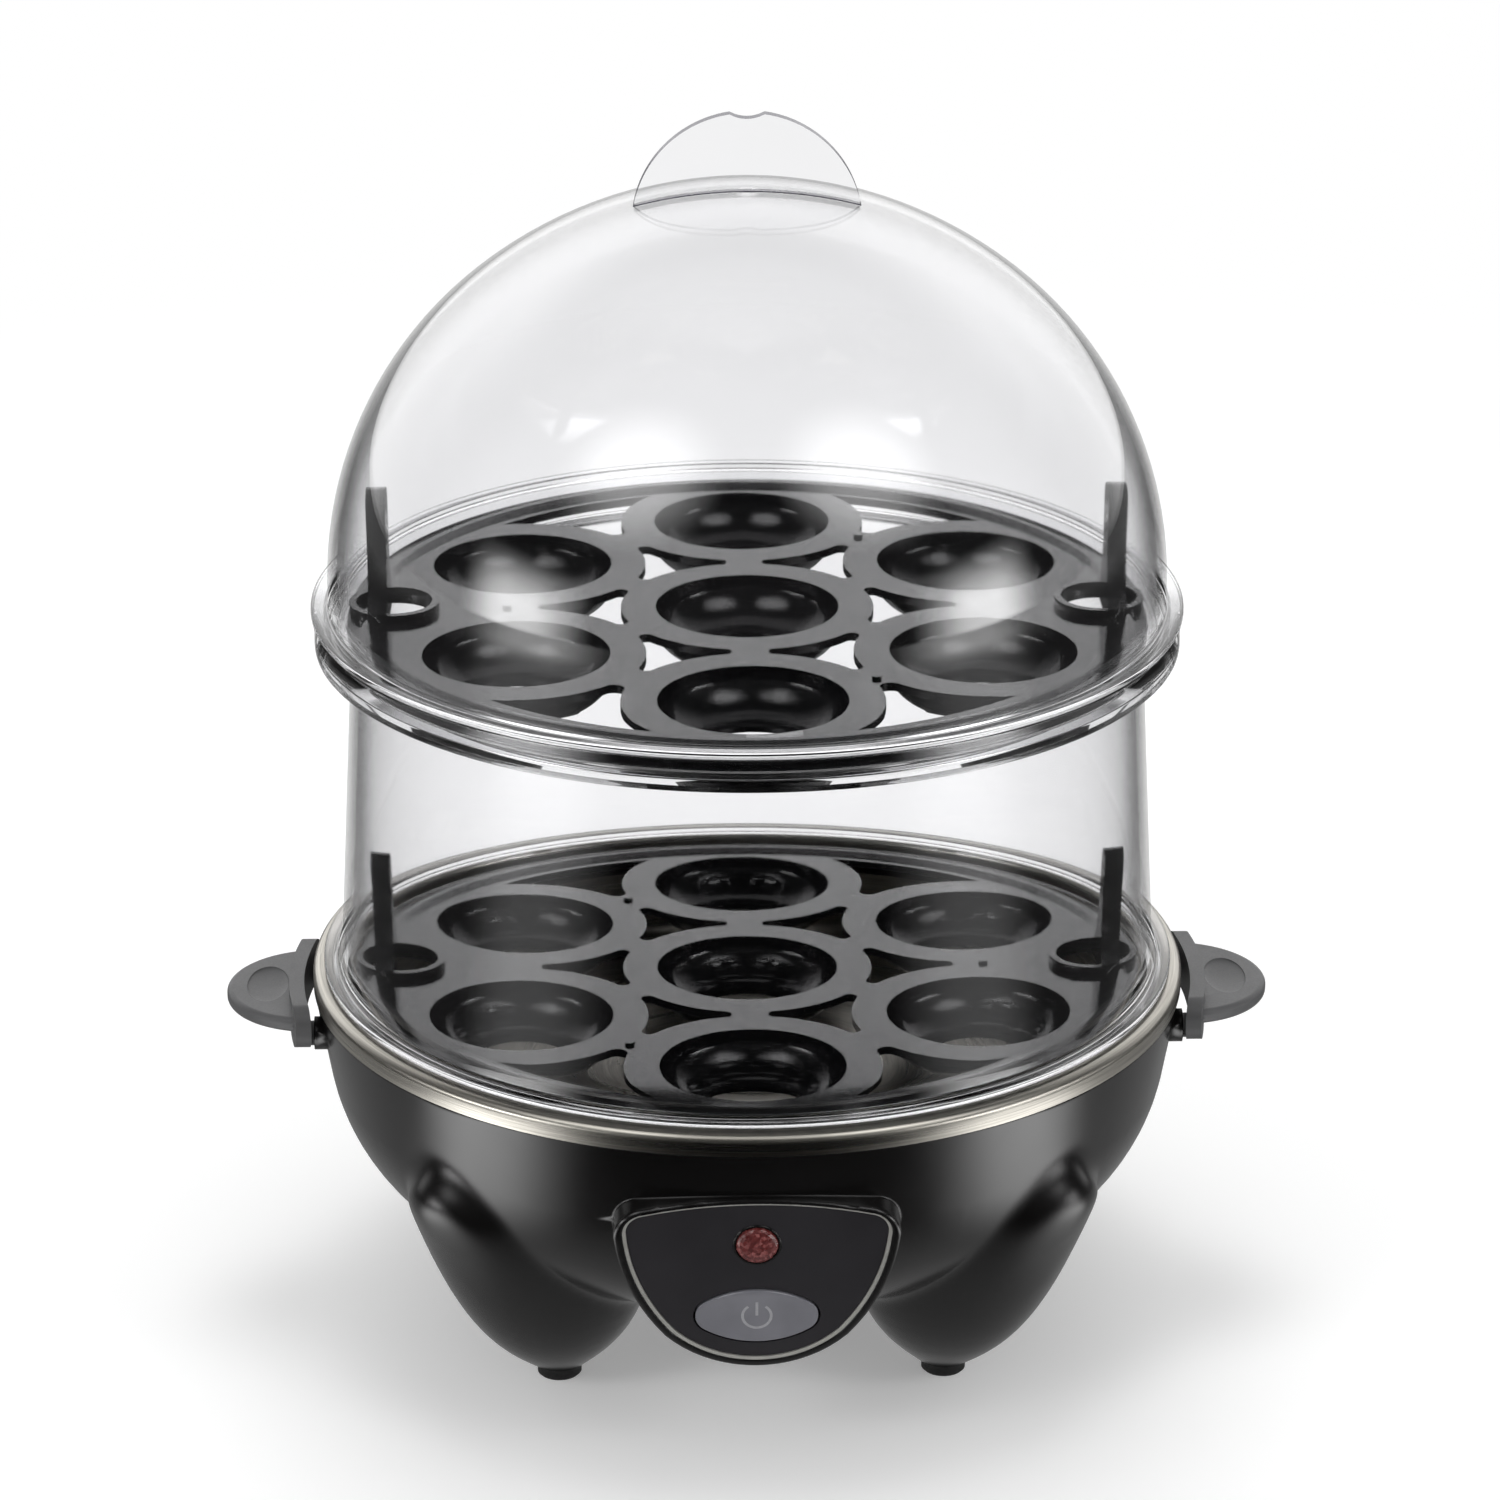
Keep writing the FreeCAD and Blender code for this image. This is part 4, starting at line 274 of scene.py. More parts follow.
# ---------------------------------------------------------------------------------------------------
# The base housing. One injection moulding in black ABS with a polished face, a bowl on four pods,
# with the bezel of the control panel in its front wall. Its moulded skin shows a faint orange peel.
# ---------------------------------------------------------------------------------------------------

def new_finish(name, **shader_inputs):
    """A material with one principled shader and the coordinates of the piece, in metres."""
    made = bpy.data.materials.new(name)
    made.use_nodes = True
    tree = made.node_tree
    tree.nodes.clear()
    where = add(tree, "ShaderNodeTexCoord").outputs["Object"]
    shader = add(tree, "ShaderNodeBsdfPrincipled")
    for key, value in shader_inputs.items():
        shader.inputs[key.replace("_", " ")].default_value = value
    add(tree, "ShaderNodeOutputMaterial", {"Surface": shader.outputs[0]})
    return made, tree, where, shader


def per_mm(size):
    """The scale at which a texture's features are about that many millimetres wide."""
    return 1000.0 / size


NOISE_LOW = 0.3
NOISE_HIGH = 0.7


def patterned(tree, shader, colour, rough, relief=None):
    """Patterns that drive a finish. Colour is a pattern and its (place, hex) stops. Rough is a pattern and
    the roughness at both ends of the range where noise mostly lies. Relief is a pattern and its depth in
    millimetres."""
    pattern, *stops = colour
    band = add(tree, "ShaderNodeValToRGB", {"Fac": pattern})
    while len(band.color_ramp.elements) < len(stops):
        band.color_ramp.elements.new(0.5)
    for element, (place, tone) in zip(band.color_ramp.elements, stops):
        element.position = place
        element.color = linear(tone)
    tree.links.new(band.outputs["Color"], shader.inputs["Base Color"])
    pattern, low, high = rough
    dulled = add(tree, "ShaderNodeMapRange", {
        "Value": pattern, "From Min": NOISE_LOW, "From Max": NOISE_HIGH, "To Min": low, "To Max": high,
    })
    tree.links.new(dulled.outputs["Result"], shader.inputs["Roughness"])
    if relief is not None:
        pattern, depth = relief
        bump = add(tree, "ShaderNodeBump", {"Height": pattern, "Distance": depth / 1000, "Strength": 1.0})
        tree.links.new(bump.outputs[0], shader.inputs["Normal"])


WELD = 1e-6
FLAT_WITHIN = math.radians(0.1)


def moulded_copy(node, body, finish, angle=38.0):
    """A copy of a solid's mesh, merged and shaded round up to that angle, which shows in its place."""
    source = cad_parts[node]
    work = bmesh.new()
    work.from_mesh(source.data)
    bmesh.ops.remove_doubles(work, verts=work.verts, dist=WELD)
    bmesh.ops.dissolve_limit(work, angle_limit=FLAT_WITHIN, verts=work.verts, edges=work.edges)
    data = bpy.data.meshes.new(node + "_surface")
    work.to_mesh(data)
    work.free()
    data.shade_smooth()
    data.set_sharp_from_angle(angle=math.radians(angle))
    data.materials.clear()
    data.materials.append(finish)
    piece = bpy.data.objects.new(node + "_surface", data)
    bpy.context.scene.collection.objects.link(piece)
    flat = piece.modifiers.new("flat_faces", "WEIGHTED_NORMAL")
    flat.keep_sharp = True
    flat.weight = 100
    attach(piece, body)
    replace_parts(piece, node)
    return piece


def dress(finish, *nodes):
    """Gives solids that show as they are the finish of their material."""
    for node in nodes:
        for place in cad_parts[node].material_slots:
            place.material = finish


# Polished black ABS: a deep black whose gloss is a little soft, so bright things near it show as broad
# pale sheens.
abs_gloss, tree, where, shader = new_finish("black_abs_polished", IOR=1.53, Metallic=0.0)
peel = add(tree, "ShaderNodeTexNoise", {"Vector": where, "Scale": per_mm(5.0), "Detail": 2.0})
cloud = add(tree, "ShaderNodeTexNoise", {"Vector": where, "Scale": per_mm(34.0), "Detail": 3.0})
patterned(
    tree, shader,
    colour=(cloud.outputs["Fac"], (0.3, "#0b0a0a"), (0.7, "#100f0f")),
    rough=(cloud.outputs["Fac"], 0.20, 0.26),
)

# Every edge is shaded as if it were rounded by 0.8 mm, and by up to 7 mm round the top of each pod.
POD_TOP = (0.0620, 0.0670, 0.0530)
both_ways = add(tree, "ShaderNodeVectorMath", {0: where}, operation="ABSOLUTE")
pod_top = add(tree, "ShaderNodeVectorMath", {0: both_ways.outputs[0], 1: POD_TOP}, operation="DISTANCE")
fillet = add(tree, "ShaderNodeMapRange", {
    "Value": pod_top.outputs["Value"], "From Min": 0.008, "From Max": 0.024,
    "To Min": 0.0070, "To Max": 0.0008,
}, interpolation_type="SMOOTHSTEP")
blend = add(tree, "ShaderNodeBevel", {"Radius": fillet.outputs["Result"]}, samples=12)
PEEL_DEPTH = 0.000006
relief = add(tree, "ShaderNodeBump", {
    "Height": peel.outputs["Fac"], "Distance": PEEL_DEPTH, "Normal": blend.outputs[0],
})
tree.links.new(relief.outputs[0], shader.inputs["Normal"])
moulded_copy("base_housing", "base", abs_gloss, 20.0)


# ---------------------------------------------------------------------------------------------------
# The rubber feet. Four turned plugs of black nitrile rubber pushed into the tips of the pods.
# They are dull, with the fine grain of the mould and a little dust.
# ---------------------------------------------------------------------------------------------------

# Moulded nitrile rubber: nearly black and matte, greyer where it has been rubbed.
rubber, tree, where, shader = new_finish("nitrile_rubber", IOR=1.52, Metallic=0.0)
grain = add(tree, "ShaderNodeTexNoise", {"Vector": where, "Scale": per_mm(0.5), "Detail": 4.0})
wear = add(tree, "ShaderNodeTexNoise", {"Vector": where, "Scale": per_mm(6.0), "Detail": 3.0})
patterned(
    tree, shader,
    colour=(wear.outputs["Fac"], (0.35, "#151515"), (0.7, "#232322")),
    rough=(grain.outputs["Fac"], 0.62, 0.82),
    relief=(grain.outputs["Fac"], 0.03),
)
dress(
    rubber,
    "rubber_foot_front_right", "rubber_foot_front_left", "rubber_foot_rear_left", "rubber_foot_rear_right",
)


# ---------------------------------------------------------------------------------------------------
# The bottom cover. A moulded disc of dark glass-filled nylon that closes the wiring space, held by
# four pan-head screws of zinc-plated steel.
# ---------------------------------------------------------------------------------------------------

# Glass-filled nylon: charcoal and dull, with a cloudy skin where the fibres lie near the surface.
nylon, tree, where, shader = new_finish("glass_filled_nylon", IOR=1.53, Metallic=0.0)
fibre = add(tree, "ShaderNodeTexNoise", {
    "Vector": where, "Scale": per_mm(2.2), "Detail": 5.0, "Distortion": 0.4,
})
skin = add(tree, "ShaderNodeTexNoise", {"Vector": where, "Scale": per_mm(0.6), "Detail": 2.0})
patterned(
    tree, shader,
    colour=(fibre.outputs["Fac"], (0.3, "#19191b"), (0.7, "#27272a")),
    rough=(fibre.outputs["Fac"], 0.48, 0.66),
    relief=(skin.outputs["Fac"], 0.02),
)
dress(nylon, "bottom_cover", "switch_body", "lamp_holder", "cord_gland", "gland_nut")

# Zinc-plated steel: a cool grey metal, patchy where the bright dip has run off.
zinc, tree, where, shader = new_finish("zinc_plated_steel", Metallic=1.0)
patch = add(tree, "ShaderNodeTexNoise", {"Vector": where, "Scale": per_mm(1.6), "Detail": 3.0})
patterned(
    tree, shader,
    colour=(patch.outputs["Fac"], (0.3, "#8d9298"), (0.7, "#b4b8ba")),
    rough=(patch.outputs["Fac"], 0.26, 0.42),
    relief=(patch.outputs["Fac"], 0.008),
)
dress(
    zinc,
    "cover_screw_front_right", "cover_screw_front_left", "cover_screw_rear_left", "cover_screw_rear_right",
    "bracket_screw_right", "bracket_screw_left", "switch_screw_right", "switch_screw_left",
    "right_handle_screw_front", "right_handle_screw_rear",
    "left_handle_screw_front", "left_handle_screw_rear",
    "terminal_screw_right", "terminal_screw_left",
)


# ---------------------------------------------------------------------------------------------------
# The heating pan. A dish spun from 1.0 mm stainless sheet and brushed on a lathe, so the grain runs
# round the axis on its rim, wall and floor. Three moulded posts hold it down over the element.
# ---------------------------------------------------------------------------------------------------

# Brushed stainless steel: a warm grey metal with fine rings of scratches that stretch each highlight.
# The scratches are drawn 0.35 mm apart, coarser than the real ones, so that they show. One radian of
# turn is 1.6 mm of pattern, which draws each scratch out round the axis.
steel, tree, where, shader = new_finish("stainless_steel_brushed", Metallic=1.0, Anisotropic=0.55)
GRAIN_RUN = 0.0016
axes = add(tree, "ShaderNodeSeparateXYZ", {0: where})
flat = add(tree, "ShaderNodeCombineXYZ", {0: axes.outputs["X"], 1: axes.outputs["Y"]})
reach = add(tree, "ShaderNodeVectorMath", {0: flat.outputs[0]}, operation="LENGTH")
around = add(tree, "ShaderNodeMath", {0: axes.outputs["Y"], 1: axes.outputs["X"]}, operation="ARCTAN2")
turn = add(tree, "ShaderNodeMath", {0: around.outputs[0], 1: GRAIN_RUN}, operation="MULTIPLY")
lay = add(tree, "ShaderNodeCombineXYZ", {
    0: reach.outputs["Value"], 1: axes.outputs["Z"], 2: turn.outputs[0],
})
scratch = add(tree, "ShaderNodeTexNoise", {"Vector": lay.outputs[0], "Scale": per_mm(0.35), "Detail": 3.0})
tone = add(tree, "ShaderNodeTexNoise", {"Vector": lay.outputs[0], "Scale": per_mm(2.5), "Detail": 2.0})
patterned(
    tree, shader,
    colour=(scratch.outputs["Fac"], (0.25, "#9a9790"), (0.75, "#c9c5bc")),
    rough=(tone.outputs["Fac"], 0.24, 0.36),
    relief=(scratch.outputs["Fac"], 0.01),
)
grind = add(tree, "ShaderNodeTangent", direction_type="RADIAL", axis="Z")
tree.links.new(grind.outputs[0], shader.inputs["Tangent"])


STRAIGHT = math.radians(165)
LONGEST_CUT = 0.4
CORNER_STEPS = 3


def rounded(corners, radius):
    """A closed profile of (r, z) corners in millimetres, each sharp one rounded, as points in metres."""
    line = []
    for i, corner in enumerate(corners):
        here = Vector(corner)
        back = Vector(corners[i - 1]) - here
        on = Vector(corners[(i + 1) % len(corners)]) - here
        if back.angle(on) > STRAIGHT:
            line.append(here / 1000)
            continue
        cut = min(radius, LONGEST_CUT * back.length, LONGEST_CUT * on.length)
        start = here + back.normalized() * cut
        end = here + on.normalized() * cut
        for step in range(CORNER_STEPS + 1):
            share = step / CORNER_STEPS
            near = start.lerp(here, share)
            line.append(near.lerp(here.lerp(end, share), share) / 1000)
    return line


def arc(centre, radius, first, last, steps):
    """Points in millimetres along an arc of a profile, between two angles in degrees."""
    turns = [math.radians(first + (last - first) * i / steps) for i in range(steps + 1)]
    return [(centre[0] + radius * math.cos(turn), centre[1] + radius * math.sin(turn)) for turn in turns]


def turned(line, closed=True, steps=224):
    """A mesh made by turning a profile once round the Z axis."""
    work = bmesh.new()
    points = [work.verts.new((x, 0, z)) for x, z in line]
    pairs = zip(points, points[1:] + points[:1]) if closed else zip(points, points[1:])
    edges = [work.edges.new(pair) for pair in pairs]
    bmesh.ops.spin(
        work, geom=points + edges, angle=math.tau, steps=steps,
        axis=(0, 0, 1), cent=(0, 0, 0), use_merge=True,
    )
    return work


SEAM = 1e-7


def make_piece(name, work, body, finish, angle=None):
    """The finished mesh as an object that rides on a body."""
    bmesh.ops.remove_doubles(work, verts=work.verts, dist=SEAM)
    bmesh.ops.recalc_face_normals(work, faces=work.faces)
    data = bpy.data.meshes.new(name)
    work.to_mesh(data)
    work.free()
    if angle is not None:
        data.shade_smooth()
        data.set_sharp_from_angle(angle=math.radians(angle))
    data.materials.append(finish)
    piece = bpy.data.objects.new(name, data)
    bpy.context.scene.collection.objects.link(piece)
    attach(piece, body)
    return piece


# Half of the pan's section in millimetres: out along the underside, over the rim and back inside.
PAN_OUTLINE = (
    [(0, 52)] + arc((69, 61), 9, -90, 0, 8) + [(78, 72.2), (88.4, 72.2), (88.4, 74.5), (92.4, 74.5)]
    + arc((90.4, 77.2), 2.0, 0, 90, 6) + arc((88.4, 78.2), 1.0, 90, 180, 5)
    + [(87.4, 73.2), (77, 73.2)] + arc((69, 61), 8, 0, -90, 8) + [(0, 53)]
)
pan = turned([Vector(point) / 1000 for point in PAN_OUTLINE], closed=False)
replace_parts(make_piece("turned_pan", pan, "base", steel, 38.0), "heating_pan")

# Steatite and ivory nylon: off-white and dull, faintly mottled by the filler.
steatite, tree, where, shader = new_finish("ivory_steatite", IOR=1.56, Metallic=0.0)
mottle = add(tree, "ShaderNodeTexNoise", {"Vector": where, "Scale": per_mm(1.4), "Detail": 4.0})
patterned(
    tree, shader,
    colour=(mottle.outputs["Fac"], (0.3, "#cfc8b8"), (0.7, "#ded9cc")),
    rough=(mottle.outputs["Fac"], 0.42, 0.6),
    relief=(mottle.outputs["Fac"], 0.02),
)
dress(
    steatite, "pan_standoff_right", "pan_standoff_rear", "pan_standoff_left",
    "thermostat", "thermal_fuse", "indicator_lamp", "terminal_block",
)


# ---------------------------------------------------------------------------------------------------
# The heater. A C-shaped tubular element lies under a pressed aluminium spreader, with the thermostat
# and the fuse clipped beneath, on a bracket and a clip of pressed sheet.
# ---------------------------------------------------------------------------------------------------

# Rolled aluminium: pale and soft-shining, with straight mill lines 0.5 mm apart.
aluminium, tree, where, shader = new_finish("aluminium_mill_finish", Metallic=1.0)
stretch = add(tree, "ShaderNodeMapping", {"Vector": where, "Scale": (1.0, 0.05, 1.0)})
mill = add(tree, "ShaderNodeTexNoise", {"Vector": stretch.outputs[0], "Scale": per_mm(0.5), "Detail": 3.0})
patterned(
    tree, shader,
    colour=(mill.outputs["Fac"], (0.3, "#c3c4c5"), (0.7, "#dadbdb")),
    rough=(mill.outputs["Fac"], 0.3, 0.44),
    relief=(mill.outputs["Fac"], 0.01),
)
dress(aluminium, "heat_spreader", "fuse_clip")

# Annealed heater sheath: steel that has run hot, straw brown with blue-grey clouds.
sheath, tree, where, shader = new_finish("heat_tinted_steel_tube", Metallic=1.0)
tint = add(tree, "ShaderNodeTexNoise", {"Vector": where, "Scale": per_mm(12.0), "Detail": 3.0})
scale = add(tree, "ShaderNodeTexNoise", {"Vector": where, "Scale": per_mm(0.8), "Detail": 3.0})
patterned(
    tree, shader,
    colour=(tint.outputs["Fac"], (0.3, "#6e6257"), (0.5, "#7f7468"), (0.7, "#62656e")),
    rough=(scale.outputs["Fac"], 0.42, 0.6),
    relief=(scale.outputs["Fac"], 0.02),
)
dress(sheath, "heating_element")

# Galvanised sheet: light grey metal broken into faint spangles about 4 mm wide.
galvanised, tree, where, shader = new_finish("galvanised_sheet_pressed", Metallic=1.0)
spangle = add(tree, "ShaderNodeTexVoronoi", {"Vector": where, "Scale": per_mm(4.0)})
grey = add(tree, "ShaderNodeSeparateColor", {0: spangle.outputs["Color"]})
patterned(
    tree, shader,
    colour=(grey.outputs[0], (0.0, "#a2a7aa"), (1.0, "#bec2c3")),
    rough=(grey.outputs[1], 0.36, 0.46),
)
dress(galvanised, "thermostat_bracket", "switch_bracket")


# ---------------------------------------------------------------------------------------------------
# The control panel. A satin black plate, shield-shaped, glued into the bezel of the housing inside a
# thin plated trim. The red lamp lens and the push button come through it.
# ---------------------------------------------------------------------------------------------------

# Satin black acrylic: dark with a hint of violet, its gloss broken by an even fine texture.
acrylic, tree, where, shader = new_finish("black_acrylic_satin", IOR=1.49, Metallic=0.0)
frost = add(tree, "ShaderNodeTexNoise", {"Vector": where, "Scale": per_mm(0.3), "Detail": 3.0})
haze = add(tree, "ShaderNodeTexNoise", {"Vector": where, "Scale": per_mm(18.0), "Detail": 2.0})
patterned(
    tree, shader,
    colour=(haze.outputs["Fac"], (0.3, "#252327"), (0.7, "#2b292d")),
    rough=(frost.outputs["Fac"], 0.34, 0.46),
    relief=(frost.outputs["Fac"], 0.006),
)
moulded_copy("control_panel", "base", acrylic, 30.0)

# Satin nickel plating on ABS: a grey metal line whose rounded edges catch the light unevenly.
nickel, tree, where, shader = new_finish("satin_nickel_plating", Metallic=0.6)
flow = add(tree, "ShaderNodeTexNoise", {"Vector": where, "Scale": per_mm(3.0), "Detail": 3.0})
patterned(
    tree, shader,
    colour=(flow.outputs["Fac"], (0.3, "#c4c3bd"), (0.7, "#d6d5cf")),
    rough=(flow.outputs["Fac"], 0.30, 0.40),
    relief=(flow.outputs["Fac"], 0.001),
)
moulded_copy("panel_trim", "base", nickel, 30.0)

PANEL_TOP = Vector((0.0, -0.0922, 0.0638))
PLATE_INSET = 0.0004
PANEL_TILT = math.radians(10.0)
PANEL_DOWN = Vector((0.0, math.sin(PANEL_TILT), -math.cos(PANEL_TILT)))
PANEL_OUT = Vector((0.0, -math.cos(PANEL_TILT), -math.sin(PANEL_TILT)))


def on_panel(drop):
    """The place of a point of the panel: across is x, up the slope is y and out of it is z."""
    centre = PANEL_TOP + PANEL_DOWN * drop
    place = Matrix((Vector((1.0, 0.0, 0.0)), -PANEL_DOWN, PANEL_OUT)).transposed().to_4x4()
    return Matrix.Translation(centre) @ place


# Red polycarbonate with a cut face: dark wine red, with pink glints painted on random cells about 0.7 mm
# across.
ruby, tree, where, shader = new_finish(
    "red_polycarbonate_lens", IOR=1.58, Metallic=0.0, Transmission_Weight=0.1,
)
glint = add(tree, "ShaderNodeTexVoronoi", {"Vector": where, "Scale": per_mm(0.7)})
painted_glint_cells = add(tree, "ShaderNodeSeparateColor", {0: glint.outputs["Color"]})
patterned(
    tree, shader,
    colour=(painted_glint_cells.outputs[0], (0.0, "#571d1c"), (0.6, "#6c2b2a"), (1.0, "#975654")),
    rough=(painted_glint_cells.outputs[1], 0.26, 0.36),
    relief=(painted_glint_cells.outputs[2], 0.03),
)

LENS_DROP = 0.0100
LENS_RADIUS = 0.00425
LENS_CROWN = 0.00187
LENS_DEPTH = 0.0034
lens = bmesh.new()
made = bmesh.ops.create_icosphere(lens, subdivisions=3, radius=LENS_RADIUS)
bmesh.ops.scale(lens, vec=(1.0, 1.0, LENS_CROWN / LENS_RADIUS), verts=made["verts"])
bmesh.ops.bisect_plane(
    lens, geom=lens.verts[:] + lens.edges[:] + lens.faces[:],
    plane_co=(0, 0, 0), plane_no=(0, 0, 1), clear_inner=True,
)
rim = [edge for edge in lens.edges if edge.is_boundary]
drawn = bmesh.ops.extrude_edge_only(lens, edges=rim)
bmesh.ops.translate(
    lens, vec=(0, 0, -LENS_DEPTH), verts=[v for v in drawn["geom"] if isinstance(v, bmesh.types.BMVert)],
)
bmesh.ops.holes_fill(lens, edges=[edge for edge in lens.edges if edge.is_boundary], sides=0)
bmesh.ops.translate(lens, vec=(0, 0, -PLATE_INSET), verts=lens.verts)
bmesh.ops.transform(lens, matrix=on_panel(LENS_DROP), verts=lens.verts)
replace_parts(make_piece("faceted_lens", lens, "base", ruby), "indicator_lens")

# The moulded collar that the lens sits in: a low black ring, chamfered on its outside.
COLLAR_BORE = LENS_RADIUS + 0.00003
COLLAR_LIP = LENS_RADIUS + 0.00020
COLLAR_OUTER = 0.00490
COLLAR_FOOT = -0.0001
COLLAR_LEDGE = 0.00005
COLLAR_RISE = 0.00022
COLLAR_CHAMFER = 0.00012
COLLAR_LINE = (
    (COLLAR_BORE, COLLAR_FOOT),
    (COLLAR_BORE, COLLAR_LEDGE),
    (COLLAR_LIP, COLLAR_RISE),
    (COLLAR_OUTER - COLLAR_CHAMFER, COLLAR_RISE),
    (COLLAR_OUTER, COLLAR_RISE - COLLAR_CHAMFER),
    (COLLAR_OUTER, COLLAR_FOOT),
)
collar = turned([(radius, height - PLATE_INSET) for radius, height in COLLAR_LINE], steps=64)
bmesh.ops.transform(collar, matrix=on_panel(LENS_DROP), verts=collar.verts)
make_piece("lens_collar", collar, "base", abs_gloss, 50.0)


# ---------------------------------------------------------------------------------------------------
# The power button. An oval cap moulded in grey ABS with a hollow face and the usual power sign
# printed on it. Its stem pushes a switch on a small bracket, and a coil spring lifts it again.
# ---------------------------------------------------------------------------------------------------

# Grey ABS with a satin skin: even, slightly cool, with a soft shine along the rounded rim.
grey_abs, tree, where, shader = new_finish("grey_abs_satin", IOR=1.53, Metallic=0.0, Coat_Weight=0.8)
veil = add(tree, "ShaderNodeTexNoise", {"Vector": where, "Scale": per_mm(7.0), "Detail": 2.0})
stipple = add(tree, "ShaderNodeTexNoise", {"Vector": where, "Scale": per_mm(0.25), "Detail": 2.0})
patterned(
    tree, shader,
    colour=(veil.outputs["Fac"], (0.3, "#727279"), (0.7, "#7c7c83")),
    rough=(stipple.outputs["Fac"], 0.3, 0.42),
)
BUTTON_EDGE = 0.0004
rim_round = add(tree, "ShaderNodeBevel", {"Radius": BUTTON_EDGE}, samples=6)
tree.links.new(rim_round.outputs[0], shader.inputs["Normal"])
moulded_copy("power_button", "button", grey_abs, 34.0)

# Pale grey pad-printing ink: flat and a little uneven where the pad lifted.
ink, tree, where, shader = new_finish("pale_grey_ink", IOR=1.45, Metallic=0.0)
lift = add(tree, "ShaderNodeTexNoise", {"Vector": where, "Scale": per_mm(0.6), "Detail": 3.0})
patterned(
    tree, shader,
    colour=(lift.outputs["Fac"], (0.3, "#9c9ca0"), (0.7, "#aaaaae")),
    rough=(lift.outputs["Fac"], 0.45, 0.6),
)

BUTTON_DROP = 0.0276
SCOOP_RADIUS = 0.0360
SCOOP_FLOOR = -0.0003
SIGN_RADIUS = 0.0029
SIGN_LINE = 0.00056
SIGN_GAP = 74
BAR_HALF = SIGN_RADIUS * 0.60
BAR_MIDDLE = SIGN_RADIUS * 0.62
INK_RISE = 0.00004
sign = bmesh.new()
corner = [sign.verts.new((0, SIGN_RADIUS + side * SIGN_LINE / 2, 0)) for side in (-1, 1)]
arc_start = sign.edges.new(corner)
bmesh.ops.rotate(sign, verts=sign.verts, matrix=Matrix.Rotation(math.radians(-SIGN_GAP / 2), 3, "Z"))
bmesh.ops.spin(
    sign, geom=[arc_start] + corner, angle=math.radians(SIGN_GAP - 360), steps=48,
    axis=(0, 0, 1), cent=(0, 0, 0),
)
bar = bmesh.ops.create_grid(sign, x_segments=1, y_segments=6, size=1.0)
bmesh.ops.scale(sign, vec=(SIGN_LINE / 2, BAR_HALF, 1.0), verts=bar["verts"])
bmesh.ops.translate(sign, vec=(0, BAR_MIDDLE, 0), verts=bar["verts"])
for vert in sign.verts:
    vert.co.z = SCOOP_FLOOR + SCOOP_RADIUS - math.sqrt(SCOOP_RADIUS ** 2 - vert.co.y ** 2) + INK_RISE
bmesh.ops.transform(sign, matrix=on_panel(BUTTON_DROP), verts=sign.verts)
make_piece("power_sign", sign, "button", ink)

# Hard-drawn spring steel: grey, and bright along its coils.
wire, tree, where, shader = new_finish("drawn_spring_wire", Metallic=1.0)
drawn_lines = add(tree, "ShaderNodeTexNoise", {"Vector": where, "Scale": per_mm(0.4), "Detail": 3.0})
patterned(
    tree, shader,
    colour=(drawn_lines.outputs["Fac"], (0.3, "#85878a"), (0.7, "#a9abad")),
    rough=(drawn_lines.outputs["Fac"], 0.24, 0.38),
)
dress(wire, "button_spring")


# ---------------------------------------------------------------------------------------------------
# The side handles. Each is one moulding in dark grey polypropylene: a strap that stands off the rim
# on two feet, and a thumb paddle with a shallow dish in its top.
# ---------------------------------------------------------------------------------------------------

# Spark-eroded polypropylene: dark grey and matte, with a fine even grain about 0.4 mm across.
pp_grain, tree, where, shader = new_finish("polypropylene_spark_texture", IOR=1.49, Metallic=0.0)
spark = add(tree, "ShaderNodeTexNoise", {"Vector": where, "Scale": per_mm(0.4), "Detail": 3.0})
shade = add(tree, "ShaderNodeTexNoise", {"Vector": where, "Scale": per_mm(9.0), "Detail": 2.0})
patterned(
    tree, shader,
    colour=(shade.outputs["Fac"], (0.3, "#545455"), (0.7, "#5e5e5f")),
    rough=(spark.outputs["Fac"], 0.42, 0.56),
    relief=(spark.outputs["Fac"], 0.02),
)
moulded_copy("right_handle", "base", pp_grain)
moulded_copy("left_handle", "base", pp_grain)


# ---------------------------------------------------------------------------------------------------
# The egg trays. Two like mouldings in black polypropylene, each with seven cups open below, steam
# windows between them and two fins to lift it by. They were moulded in a polished tool.
# ---------------------------------------------------------------------------------------------------

# Polished black polypropylene: black with a clear gloss, so its flat top mirrors the pale room.
tray_black, tree, where, shader = new_finish("black_polypropylene_polished", IOR=1.50, Metallic=0.0)
ripple = add(tree, "ShaderNodeTexNoise", {"Vector": where, "Scale": per_mm(8.0), "Detail": 2.0})
stain = add(tree, "ShaderNodeTexNoise", {"Vector": where, "Scale": per_mm(26.0), "Detail": 3.0})
patterned(
    tree, shader,
    colour=(stain.outputs["Fac"], (0.3, "#0e0e0f"), (0.7, "#151516")),
    rough=(stain.outputs["Fac"], 0.10, 0.15),
    relief=(ripple.outputs["Fac"], 0.005),
)
moulded_copy("lower_egg_tray", "lower_tray", tray_black)
moulded_copy("upper_egg_tray", "upper_tray", tray_black)


# ---------------------------------------------------------------------------------------------------
# The clear tier and the dome lid. Both are moulded in clear SAN, a hard plastic as clear as glass.
# The ring stands between the trays, and the dome carries its lifting fin on top.
# ---------------------------------------------------------------------------------------------------

